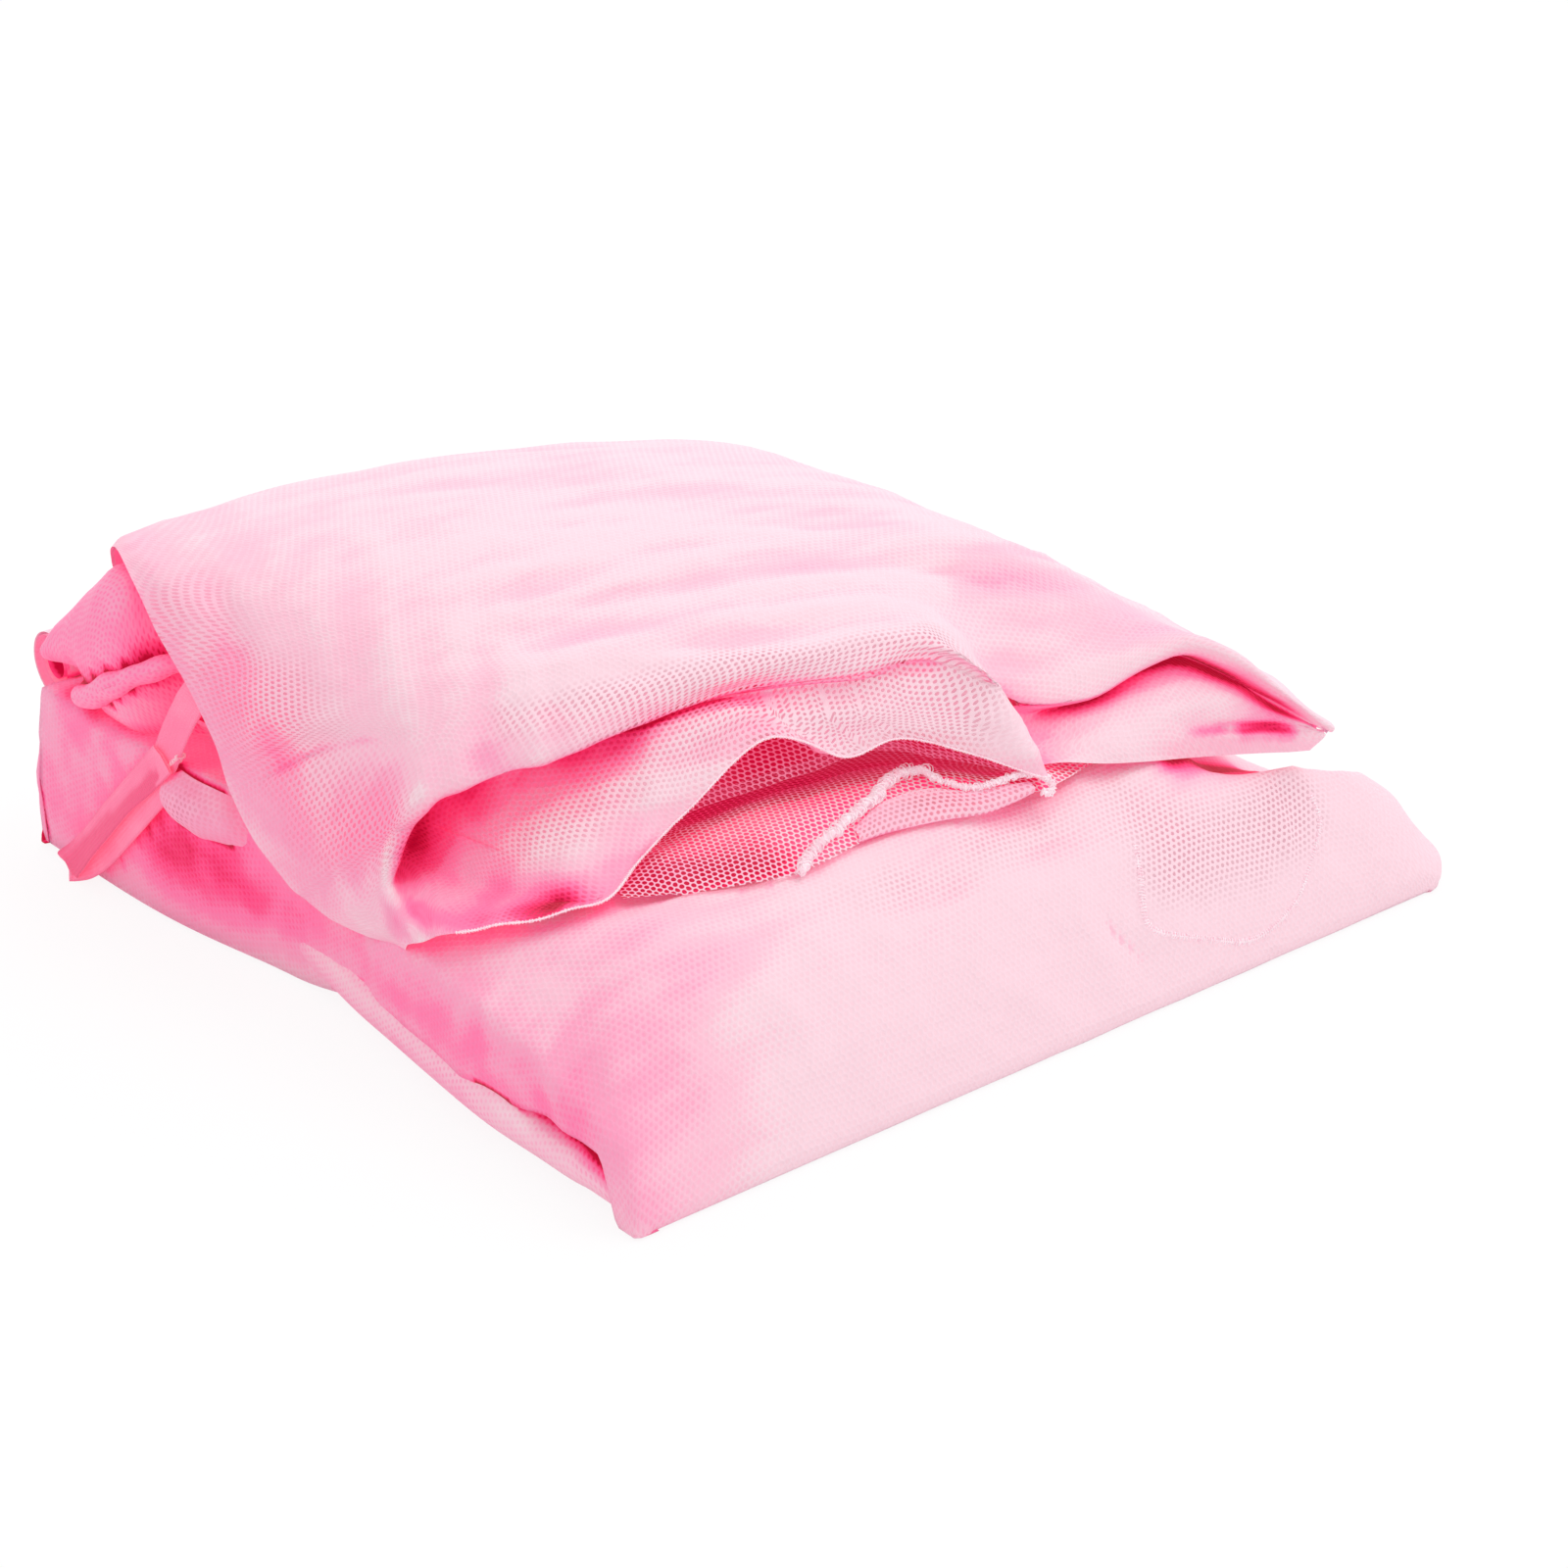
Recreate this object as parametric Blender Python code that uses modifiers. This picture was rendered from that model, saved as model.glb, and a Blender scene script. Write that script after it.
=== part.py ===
"""Bed canopy of fine net, folded for storage into a soft bundle.

Units are metres, +Z is up, +X runs along the straight front fold and +Y points to the back.
The origin is on the table, under the middle of the bundle.

The canopy is a roof panel with curtains on four sides, the near one split into two door curtains,
and a sewn tape loop at each roof corner. Here it lies folded: a lower pack, an upper pack hinged on
it by the net that turns round the back fold, a top flap, and one corner loop hanging out at the left.
"""

import math

import bmesh
import bpy
from mathutils import Vector

MM = 0.001

# Overall sizes of the bundle
bundle_width = 274 * MM
bundle_depth = 278 * MM
lower_height = 48 * MM
upper_height = 49 * MM

# Cloth thicknesses, each standing for many layers of net pressed together
wrap_ply = 2.4 * MM
roll_ply = 2.6 * MM
curtain_ply = 1.6 * MM
clearance = 0.8 * MM
pleat_gap = 1.4 * MM
touching_gap = 0.3 * MM

# Lower pack
lower_pleats = 3
inner_space = 6.2 * MM
inner_front_inset = 21 * MM
inner_roll_gap = 2 * MM
inner_right_inset = 10 * MM
front_slope = 45 * MM
front_edge_height = 3.2 * MM
right_round = 40 * MM
left_round = 40 * MM
left_front_share = 0.66
left_back_share = 0.95
right_edge_share = 0.25
left_waist = 10 * MM
waist_length = 45 * MM
waist_band = 47 * MM
corner_cut = 9 * MM
corner_length = 25 * MM
corner_band = 77 * MM
wrap_left_inset = 2 * MM
low_front = 109 * MM
low_front_length = 85 * MM
roll_width = 24 * MM
roll_left_inset = 1 * MM
roll_turns = 1.6
roll_core_share = 0.42
roll_front_inset = 5 * MM
roll_back_inset = 2 * MM

# Upper pack. Its sizes in plan are those of the drawn bundle, and follow the set sizes as the flap does
upper_pleats = 3
upper_inset_left = 1 * MM
upper_inset_right = 53 * MM
upper_front = 56 * MM
skew_start = 60 * MM
front_diagonal = 0.42
upper_right_round = 75 * MM
upper_right_share = 0.1
right_overrun = 9 * MM
upper_back_round = 90 * MM
upper_back_share = 0.62
upper_left_round = 45 * MM
upper_left_share = 0.88
overhang_back = 50 * MM
overhang_fall = 60 * MM
overhang_tuck = 15 * MM
shoulder_drop = 0.4
flap_space = 6 * MM
floor_space = 3.4 * MM

# Back fold and its rolled seam, which lies on the hinge line
fold_rise = 1 * MM
seam_radius = 9 * MM
seam_ply = 2.0 * MM
seam_gap = 0.6 * MM
seam_hollow = 1 * MM
seam_points_per_turn = 10
seam_left_inset = 8 * MM
seam_right_inset = 12 * MM
seam_behind = 1.5 * MM

# Hems and hanging loops
hem_diameter = 2.4 * MM
hem_drop = 3.7 * MM
hem_start_share = 0.22
hem_end_share = 0.77
hem_steps = 35
tape_width = 8 * MM
tape_thickness = 1.4 * MM
loop_length = 44 * MM
loop_place = 60 * MM
loop_eye = 8 * MM
tucked_loop_length = 35 * MM
loop_turn_width = 4.6 * MM
loop_turn_gap = 3 * MM
tack_width = 3 * MM
tack_thickness = 1.2 * MM
tack_gap = 0.6 * MM
tack_edge = 0.3 * MM

# The flap and the upper pack are drawn on a bundle of this size, in millimetres, and follow any other
DRAWN_WIDTH = 274
DRAWN_DEPTH = 278
DRAWN_LOWER = 48
DRAWN_UPPER = 49
wider = bundle_width / (DRAWN_WIDTH * MM)
deeper = bundle_depth / (DRAWN_DEPTH * MM)

half_width = bundle_width / 2
half_depth = bundle_depth / 2
back_hinge_y = half_depth - seam_radius - seam_behind
back_hinge_z = lower_height + fold_rise
pack_back = back_hinge_y - seam_radius - 2 * touching_gap
wrap_under = lower_height - touching_gap - wrap_ply
wrap_left = -half_width + wrap_left_inset


def clamp(value, low=0.0, high=1.0):
    """Limit a value to a range."""
    return max(low, min(high, value))


def ease(value):
    """Quarter sine from 0 to 1, steep first and flat last, as a soft edge rounds over."""
    return math.sin(math.pi / 2 * clamp(value))


def smooth(value):
    """S-curve from 0 to 1."""
    value = clamp(value)
    return value * value * (3 - 2 * value)


def lift(low, share):
    """Value that goes from low to 1 as the share goes from 0 to 1."""
    return low + (1 - low) * share


# The shape that the lower pack takes when its flat layers settle

def lower_fullness(x, y):
    """Share of the full height that the lower pack has at a point of its plan."""
    front_edge = front_edge_height / lower_height
    front = ease(clamp((y + half_depth) / front_slope) ** 0.8)
    right = ease(clamp((half_width - x) / right_round) ** 0.7)
    left = ease((x + half_width) / left_round)
    towards_back = smooth((y + half_depth - low_front) / low_front_length)
    left_edge = left_front_share + (left_back_share - left_front_share) * towards_back
    return lift(front_edge, front) * lift(right_edge_share, right) * lift(left_edge, left)


def settle_plan(x, y):
    """Pull the pack's left side in at its waist and round off the front right corner."""
    near_left = clamp((waist_band - half_width - x) / waist_band)
    near_right = clamp((x - half_width + corner_band) / corner_band)
    near_front = clamp((corner_length - half_depth - y) / corner_length)
    waist = left_waist * math.exp(-(y / waist_length) ** 2) * near_left
    return x + waist - corner_cut * near_front ** 2 * near_right, y


def settle_lower(point):
    """Move a point of the flat, square lower pack to its place in the settled bundle."""
    x, y = settle_plan(point.x, point.y)
    return Vector((x, y, point.z * lower_fullness(point.x, point.y)))


# The shape that the upper pack takes

def upper_fullness(x, y):
    """Share of the full height that the upper pack has at a point of the drawn bundle's plan."""
    drawn_half = half_width / wider
    right = ease(clamp((drawn_half - upper_inset_right + right_overrun - x) / upper_right_round) ** 0.8)
    back = ease((pack_back / deeper - y) / upper_back_round)
    left = ease((x + drawn_half) / upper_left_round)
    shoulder = smooth((overhang_back - y) / overhang_fall) * (1 - left)
    sides = lift(upper_right_share, right) * lift(upper_left_share, left)
    return sides * lift(upper_back_share, back) * (1 - shoulder_drop * shoulder)


def settle_upper(point):
    """Move a point of the flat upper pack to its place in the settled bundle."""
    x, y = point.x / wider, point.y / deeper
    forward = clamp((skew_start - y) / (skew_start + upper_front))
    skewed_y = y - front_diagonal * x * forward
    near_left = clamp((waist_band - half_width / wider - x) / waist_band)
    tuck = overhang_tuck * smooth((overhang_back + overhang_fall / 2 - y) / overhang_fall) * near_left
    floor = lower_height + floor_space
    height = floor + (point.z - floor) * upper_fullness(x, y)
    return Vector(((x + tuck) * wider, skewed_y * deeper, height))


def drawn(x, y, z):
    """Place a rail point, in millimetres on the drawn bundle, on a bundle of the set size."""
    if z < DRAWN_LOWER:
        height = z / DRAWN_LOWER * lower_height
    else:
        height = lower_height + (z - DRAWN_LOWER) / DRAWN_UPPER * upper_height
    return Vector((x / DRAWN_WIDTH * bundle_width, y / DRAWN_DEPTH * bundle_depth, height))


# Helpers that turn paths and rails into cloth

def spline_point(points, share):
    """Point at a share of the way along a smooth curve through the points."""
    spans = len(points) - 1
    place = clamp(share) * spans
    index = min(int(place), spans - 1)
    t = place - index
    p1, p2 = points[index], points[index + 1]
    p0 = points[index - 1] if index > 0 else p1 * 2 - p2
    p3 = points[index + 2] if index < spans - 1 else p2 * 2 - p1
    return 0.5 * (2 * p1 + (p2 - p0) * t + (2 * p0 - 5 * p1 + 4 * p2 - p3) * t ** 2
                  + (3 * p1 - 3 * p2 + p3 - p0) * t ** 3)


def crowd_ends(share):
    """Spread shares from 0 to 1 so that they lie closer together towards both ends."""
    return share - 0.12 * math.sin(2 * math.pi * share)


def pleat_path(levels, front, back, arc_points=4, run_points=8):
    """Path of a cloth folded to and fro, as (y, z) pairs: one run at each level, joined by half turns."""
    path = []
    heading = -1
    for index, level in enumerate(levels):
        start, end = (back, front) if heading < 0 else (front, back)
        for step in range(run_points):
            share = crowd_ends(step / (run_points - 1))
            path.append((start + (end - start) * share, level))
        if index < len(levels) - 1:
            radius = (levels[index + 1] - level) / 2
            for step in range(1, arc_points + 1):
                turn = math.pi * step / (arc_points + 1)
                path.append((end + heading * radius * math.sin(turn), level + radius * (1 - math.cos(turn))))
        heading = -heading
    return path


def spiral_path(centre, half_x, half_z, turns, inner_share, points_per_turn=12):
    """Path of a rolled cloth, as (x, z) pairs, winding inwards in a squarish spiral."""
    count = round(turns * points_per_turn)
    path = []
    for step in range(count + 1):
        share = step / count
        angle = math.pi * 0.5 - 2 * math.pi * turns * share
        size = 1 - (1 - inner_share) * share
        x = centre[0] + half_x * size * math.cos(angle)
        z = centre[1] + half_z * size * math.copysign(abs(math.sin(angle)) ** 0.8, math.sin(angle))
        path.append((x, z))
    return path


def material(name, colour, roughness):
    """Cloth material with the part's colour and roughness."""
    finish = bpy.data.materials.new(name)
    finish.use_nodes = True
    shader = finish.node_tree.nodes["Principled BSDF"]
    shader.inputs["Base Color"].default_value = (*colour, 1)
    shader.inputs["Roughness"].default_value = roughness
    shader.inputs["Metallic"].default_value = 0.0
    return finish


def add_object(name, mesh, finish, collection):
    """Put a mesh in the scene as one named piece."""
    piece = bpy.data.objects.new(name, mesh)
    mesh.materials.append(finish)
    collection.objects.link(piece)
    return piece


def apply_modifiers(piece):
    """Replace a piece's mesh by its evaluated mesh, with its modifiers gone."""
    graph = bpy.context.evaluated_depsgraph_get()
    mesh = bpy.data.meshes.new_from_object(piece.evaluated_get(graph))
    piece.modifiers.clear()
    piece.data = mesh


def cloth(name, place, columns, rows, thickness, finish, collection, settle=None):
    """Closed cloth piece: a grid laid out by place(u, v), given its thickness, then settled."""
    bm = bmesh.new()
    bmesh.ops.create_grid(bm, x_segments=columns, y_segments=rows, size=0.5)
    for vert in bm.verts:
        vert.co = place(vert.co.x + 0.5, vert.co.y + 0.5)
    mesh = bpy.data.meshes.new(name)
    bm.to_mesh(mesh)
    bm.free()
    piece = add_object(name, mesh, finish, collection)
    wall = piece.modifiers.new("thickness", "SOLIDIFY")
    wall.thickness = thickness
    wall.offset = 0
    apply_modifiers(piece)
    bm = bmesh.new()
    bm.from_mesh(piece.data)
    if settle:
        for vert in bm.verts:
            vert.co = settle(vert.co)
    bmesh.ops.recalc_face_normals(bm, faces=bm.faces)
    bm.to_mesh(piece.data)
    bm.free()
    piece.data.shade_smooth()
    return piece


def swept_along_x(path, low, high):
    """Grid placement for a (y, z) path swept along X."""
    def place(u, v):
        y, z = path[round(u * (len(path) - 1))]
        return Vector((low + (high - low) * crowd_ends(v), y, z))
    return place


def swept_along_y(path, low, high):
    """Grid placement for an (x, z) path swept along Y."""
    def place(u, v):
        x, z = path[round(u * (len(path) - 1))]
        return Vector((x, low + (high - low) * crowd_ends(v), z))
    return place


def lofted(rails):
    """Grid placement for a cloth that passes through rails, each a list of points."""
    def place(u, v):
        return spline_point([spline_point(rail, u) for rail in rails], v)
    return place


def cord(name, points, diameter, finish, collection):
    """Round cord through points, with closed ends."""
    curve = bpy.data.curves.new(name, "CURVE")
    curve.dimensions = "3D"
    curve.bevel_depth = diameter / 2
    curve.bevel_resolution = 2
    curve.use_fill_caps = True
    spline = curve.splines.new("POLY")
    spline.points.add(len(points) - 1)
    for spot, point in zip(spline.points, points):
        spot.co = (*point, 1)
    piece = bpy.data.objects.new(name, curve)
    curve.materials.append(finish)
    collection.objects.link(piece)
    return piece


# Pieces of the lower pack

def make_far_side_curtain(net, collection):
    """Outer wrap of the lower pack: under it, round the straight front fold and back over it.

    The front fold is laid out square, and settles to a thin edge.
    """
    bottom = wrap_ply / 2
    top = wrap_under + wrap_ply / 2
    front = -half_depth + wrap_ply / 2
    path = pleat_path([bottom, top], front, pack_back, arc_points=1, run_points=14)
    squared = [(max(y, front), z) for y, z in path]
    return cloth("far_side_curtain", swept_along_x(squared, wrap_left, half_width), len(squared) - 1, 16,
                 wrap_ply, net, collection, settle_lower)


def lower_levels():
    """Heights of the inner pack's runs, and the thickness of one run."""
    low = wrap_ply + clearance
    high = wrap_under - inner_space
    run = (high - low - pleat_gap * (lower_pleats - 1)) / lower_pleats
    return [low + run / 2 + (run + pleat_gap) * index for index in range(lower_pleats)], run


def make_head_curtain(net, collection):
    """Inner pack of the lower bundle, pleated to and fro inside the wrap."""
    levels, run = lower_levels()
    turn = (levels[1] - levels[0]) / 2 + run / 2
    front = -half_depth + inner_front_inset + turn
    back = pack_back - turn
    path = pleat_path(levels, front, back)
    left = -half_width + roll_left_inset + roll_width + inner_roll_gap
    right = half_width - inner_right_inset
    return cloth("head_curtain", swept_along_x(path, left, right), len(path) - 1, 12,
                 run, net, collection, settle_lower)


def make_foot_curtain(net, collection):
    """Curtain rolled up along the left end, open at the near corner."""
    low = wrap_ply + clearance
    high = wrap_under - 2 * clearance
    centre = (-half_width + roll_left_inset + roll_width / 2, (low + high) / 2)
    half_x = roll_width / 2 - roll_ply / 2
    half_z = (high - low) / 2 - roll_ply / 2
    path = spiral_path(centre, half_x, half_z, roll_turns, roll_core_share)
    front = -half_depth + roll_front_inset
    back = pack_back - roll_back_inset
    return cloth("foot_curtain", swept_along_y(path, front, back), len(path) - 1, 12,
                 roll_ply, net, collection, settle_lower)


def make_bottom_hem(thread, collection):
    """Overlocked bottom hem of the curtain, lying in a U under the wrap at the front right."""
    route = [(62, -96), (66, -108), (70, -118), (78, -124), (92, -124), (101, -118), (105, -108), (106, -97)]
    points = [drawn(x, y, 0) for x, y in route]
    centre_line = []
    for step in range(hem_steps + 1):
        spot = spline_point(points, step / hem_steps)
        spot.z = wrap_under
        settled = settle_lower(spot)
        settled.z -= hem_drop
        centre_line.append(settled)
    return cord("bottom_hem", centre_line, hem_diameter, thread, collection)


def make_roof_seam(net, collection):
    """Seam between roof and curtains, rolled in the back fold on the line that the bundle opens on."""
    pitch = seam_ply + seam_gap
    turns = (seam_radius - seam_ply) / pitch
    path = []
    count = round(turns * seam_points_per_turn)
    outer_radius = seam_radius - seam_ply / 2
    inner_radius = seam_ply / 2 + seam_hollow
    for step in range(count + 1):
        angle = math.pi + 2 * math.pi * turns * step / count
        radius = outer_radius + (inner_radius - outer_radius) * step / count
        path.append((back_hinge_y + radius * math.cos(angle), back_hinge_z + radius * math.sin(angle)))
    left = -half_width + seam_left_inset
    right = half_width - seam_right_inset
    return cloth("roof_seam", swept_along_x(path, left, right), len(path) - 1, 6,
                 seam_ply, net, collection)


# Pieces of the upper pack

def upper_levels():
    """Heights of the upper pack's runs, and the thickness of one run."""
    low = lower_height + floor_space + touching_gap
    high = lower_height + upper_height - flap_space - curtain_ply
    run = (high - low - pleat_gap * (upper_pleats - 1)) / upper_pleats
    return [low + run / 2 + (run + pleat_gap) * index for index in range(upper_pleats)], run


def make_roof_panel(net, collection):
    """Roof panel, pleated into the body of the upper pack."""
    levels, run = upper_levels()
    turn = (levels[1] - levels[0]) / 2 + run / 2
    path = pleat_path(levels, -upper_front * deeper + turn, pack_back - turn)
    left = -half_width + upper_inset_left
    right = half_width - upper_inset_right * wider
    return cloth("roof_panel", swept_along_x(path, left, right), len(path) - 1, 12,
                 run, net, collection, settle_upper)


def door_right_rails():
    """Rails of the right door curtain, from the back to its hem, left to right."""
    back = [(-118, 104, 49.4), (-60, 106, 49.4), (0, 106, 49.4), (50, 104, 49.4), (88, 96, 49.4)]
    middle = [(-116, 40, 49.4), (-60, 40, 49.4), (0, 40, 49.4), (50, 40, 49.4), (90, 30, 49.4)]
    front = [(-108, -20, 49.4), (-60, -24, 49.4), (-6, -30, 49.4), (50, -40, 49.4), (92, -50, 49.4)]
    mouth = [(-100, -56, 49.6), (-58, -64, 49.8), (-6, -64, 50.4), (40, -76, 49.6), (93, -84, 49.2)]
    hem = [(-95, -77, 50.0), (-56, -97, 50.2), (-6, -83, 53.5), (17, -102, 51.2), (92, -106, 48.9)]
    return [[drawn(*point) for point in rail] for rail in (back, middle, front, mouth, hem)]


def make_door_curtain_right(net, collection):
    """Door curtain whose hem lies on the floor of the mouth."""
    return cloth("door_curtain_right", lofted(door_right_rails()), 16, 14, curtain_ply, net, collection)


def hem_line(rails):
    """Centre line of the hem that is sewn along the last of a curtain's rails."""
    reach = curtain_ply / 2 + hem_diameter / 2 + touching_gap
    points = []
    for step in range(hem_steps + 1):
        share = hem_start_share + (hem_end_share - hem_start_share) * step / hem_steps
        rim = spline_point(rails[-1], share)
        away = (rim - spline_point(rails[-2], share)).normalized()
        points.append(rim + away * reach)
    return points


def make_door_hem_right(thread, collection):
    """Overlocked hem along the right door curtain's front edge."""
    return cord("door_hem_right", hem_line(door_right_rails()), hem_diameter, thread, collection)


# The top flap

def door_left_rails():
    """Rails of the left door curtain, from the back edge over the top to its hem, left to right."""
    back = [(-131, 109, 78), (-128, 111, 81), (-119, 112, 84), (-95, 113, 86), (-60, 113, 87), (-25, 113, 86),
            (8, 112, 83), (35, 109, 80), (69, 102, 74), (105, 84, 55)]
    high = [(-138, 78, 84), (-135, 80, 89), (-126, 82, 94), (-97, 82, 97), (-60, 80, 98), (-25, 78, 98),
            (8, 74, 95), (38, 66, 90), (70, 50, 81), (105, 28, 56)]
    crown = [(-143, 46, 70), (-141, 47, 80), (-131, 48, 90), (-99, 46, 98), (-60, 44, 101), (-25, 40, 101),
             (8, 34, 100), (38, 26, 96), (71, 10, 85), (105, -14, 58)]
    shoulder = [(-145, 15, 45), (-143, 15, 58), (-133, 14, 74), (-100, 8, 92), (-62, 4, 99), (-26, 0, 100),
                (8, -6, 100), (38, -16, 97), (71, -34, 87), (104, -58, 60)]
    brow = [(-143, -18, 37), (-140, -16, 48), (-129, -14, 64), (-99, -16, 86), (-63, -20, 94), (-27, -28, 96),
            (8, -40, 97), (38, -54, 92), (71, -70, 83), (102, -95, 58)]
    ridge = [(-135, -48, 37), (-131, -37, 47), (-120, -30, 62), (-97, -31, 80), (-62, -41, 86), (-28, -55, 88),
             (10, -73, 85), (36, -90, 67), (71, -98, 74), (98, -124, 54)]
    crease = [(-130, -43, 38), (-125, -30, 46), (-114, -24, 57), (-95, -32, 66), (-60, -45, 73), (-28, -54, 77),
              (8, -70, 76), (35, -88, 61), (70, -94, 67), (95, -118, 52)]
    belly = [(-126, -44, 42), (-120, -22, 48), (-110, -16, 53), (-94, -28, 59), (-62, -58, 68), (-31, -69, 71),
             (4, -82, 71), (28, -90, 58), (66, -89, 61), (92, -111, 50.4)]
    lip = [(-127, -52, 43), (-117, -61, 46), (-106, -70, 49), (-92, -77, 53), (-64, -73, 61), (-32, -80, 64),
           (0, -92, 65), (19, -103, 56), (44, -94, 55), (80, -100, 52)]
    rails = [back, high, crown, shoulder, brow, ridge, crease, belly, lip]
    return [[drawn(*point) for point in rail] for rail in rails]


def make_door_curtain_left(net, collection):
    """Top flap: over the crown, down the left end as an overhang, and turned in under its front ridge."""
    return cloth("door_curtain_left", lofted(door_left_rails()), 24, 23, curtain_ply, net, collection)


def make_door_hem_left(thread, collection):
    """Overlocked hem along the arched lip of the top flap."""
    return cord("door_hem_left", hem_line(door_left_rails()), hem_diameter, thread, collection)


# Corner loops and their stitching

def loop_outline(length):
    """Centre line of a loop in its own plane: down one strand, round the turn and up the other."""
    turn_radius = loop_turn_width / 2 + loop_turn_gap / 2
    top_reach = loop_eye / 2 + tape_width / 2
    points = []
    run_points = 9
    for step in range(run_points):
        share = step / (run_points - 1)
        side = top_reach + (turn_radius - top_reach) * smooth(share)
        points.append((side, -length * share))
    turn_points = 7
    for step in range(1, turn_points):
        angle = math.pi * step / turn_points
        points.append((turn_radius * math.cos(angle), -length - turn_radius * math.sin(angle)))
    for side, drop in reversed(points[:run_points]):
        points.append((-side, drop))
    return points


def make_loop(name, length, base, along, across, tape, collection):
    """Tape loop lying in the plane of two directions, with its base at the sewn end."""
    outline = loop_outline(length)
    count = len(outline)

    def place(u, v):
        index = round(u * (count - 1))
        before = Vector(outline[max(index - 1, 0)])
        after = Vector(outline[min(index + 1, count - 1)])
        run = (after - before).normalized()
        side = Vector((-run.y, run.x))
        nearness = smooth(abs(index - (count - 1) / 2) / (count * 0.3))
        width = loop_turn_width + (tape_width - loop_turn_width) * nearness
        spot = Vector(outline[index]) + side * width * (v - 0.5)
        return base + across * spot.x - along * spot.y

    return cloth(name, place, count - 1, 2, tape_thickness, tape, collection)


def make_tack(name, centre, along, across, thread, collection):
    """Bar tack: a short block of dense stitching across a loop's base."""
    mesh = bpy.data.meshes.new(name)
    bm = bmesh.new()
    bmesh.ops.create_cube(bm, size=1.0)
    normal = across.cross(along).normalized()
    reach = loop_eye + 2 * tape_width
    for vert in bm.verts:
        local = vert.co.copy()
        vert.co = (centre + across * local.x * reach + along * local.y * tack_width
                   + normal * local.z * tack_thickness)
    bm.to_mesh(mesh)
    bm.free()
    piece = add_object(name, mesh, thread, collection)
    edge = piece.modifiers.new("soft edges", "BEVEL")
    edge.width = tack_edge
    edge.segments = 2
    return piece


def make_hanging_loop(tape, thread, collection):
    """Corner loop that hangs down the left end to the table, and the tack that holds it."""
    wrap_edge = settle_lower(Vector((wrap_left, loop_place, wrap_under + wrap_ply / 2)))
    along = Vector((-0.10, 0.62, -0.70)).normalized()
    across = Vector((0.0, -0.75, -0.66))
    across = (across - along * across.dot(along)).normalized()
    tack_centre = wrap_edge + Vector((-tack_thickness / 2 - tack_gap, 0, -tack_width / 2))
    base = tack_centre + along * (tack_width / 2 + tack_gap)
    make_tack("bar_tack_1", tack_centre, along, across, thread, collection)
    loop = make_loop("corner_loop_1", loop_length, base, along, across, tape, collection)
    return loop, base + along * touching_gap


def make_tucked_loops(tape, thread, collection):
    """The other three corner loops, tucked flat between the lower pack's pleats and its wrap."""
    level = wrap_under - inner_space + clearance + tape_thickness / 2
    spots = [(-60, 84, 1), (78, 84, -1), (70, -30, -1)]
    for index, (x, y, heading) in enumerate(spots):
        base = drawn(x, y, 0) + Vector((0, 0, level))
        along = Vector((heading, 0, 0))
        across = Vector((0, 1, 0))
        make_loop(f"corner_loop_{index + 2}", tucked_loop_length, base, along, across, tape, collection)
        tack_centre = base - along * (tack_width / 2 + tack_gap)
        make_tack(f"bar_tack_{index + 2}", tack_centre, along, across, thread, collection)


def make_fold(name, spot, pieces, collection, parent=None):
    """Empty on a fold's axis that carries the pieces which turn about it."""
    fold = bpy.data.objects.new(name, None)
    fold.location = spot
    collection.objects.link(fold)
    if parent:
        fold.parent = parent
        fold.location = spot - parent.location
    for piece in pieces:
        piece.parent = fold
        piece.location = -spot
    return fold


def main():
    """Clear the scene and build the bundle."""
    for old in list(bpy.data.objects):
        bpy.data.objects.remove(old)
    canopy = bpy.data.collections.new("bed_canopy")
    bpy.context.scene.collection.children.link(canopy)
    net = material("pink_net", (0.95, 0.48, 0.60), 0.75)
    tape = material("pink_tape", (0.93, 0.22, 0.38), 0.7)
    thread = material("hem_thread", (0.98, 0.74, 0.80), 0.65)

    make_far_side_curtain(net, canopy)
    make_head_curtain(net, canopy)
    make_foot_curtain(net, canopy)
    make_bottom_hem(thread, canopy)
    make_roof_seam(net, canopy)
    make_tucked_loops(tape, thread, canopy)

    upper = [make_roof_panel(net, canopy), make_door_curtain_right(net, canopy),
             make_door_hem_right(thread, canopy)]
    flap = [make_door_curtain_left(net, canopy), make_door_hem_left(thread, canopy)]
    loop, loop_hinge = make_hanging_loop(tape, thread, canopy)

    back_hinge = Vector((0, back_hinge_y, back_hinge_z))
    flap_hinge = drawn(0, 119, 83)
    back_fold = make_fold("back_fold", back_hinge, upper, canopy)
    make_fold("flap_fold", flap_hinge, flap, canopy, back_fold)
    make_fold("loop_fold", loop_hinge, [loop], canopy)


main()
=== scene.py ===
# %% [markdown]
# # A folded bed canopy of pink net
#
# A bed canopy is a big box of fine net. Between uses it is folded into a bundle: a lower pack, an upper
# pack hinged on it by the net that turns round the back, and a top flap laid over both. Here each cloth
# is a curved sheet that is lofted through a few given rails, creased by strokes drawn on it, and
# covered with a hexagonal net pattern that is clear in its holes. Everything is built around the packed
# frame, in metres.

# %% Load the imported frame
import math

import bmesh
import bpy
import numpy as np
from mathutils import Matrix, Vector, noise
from mathutils.bvhtree import BVHTree


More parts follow.
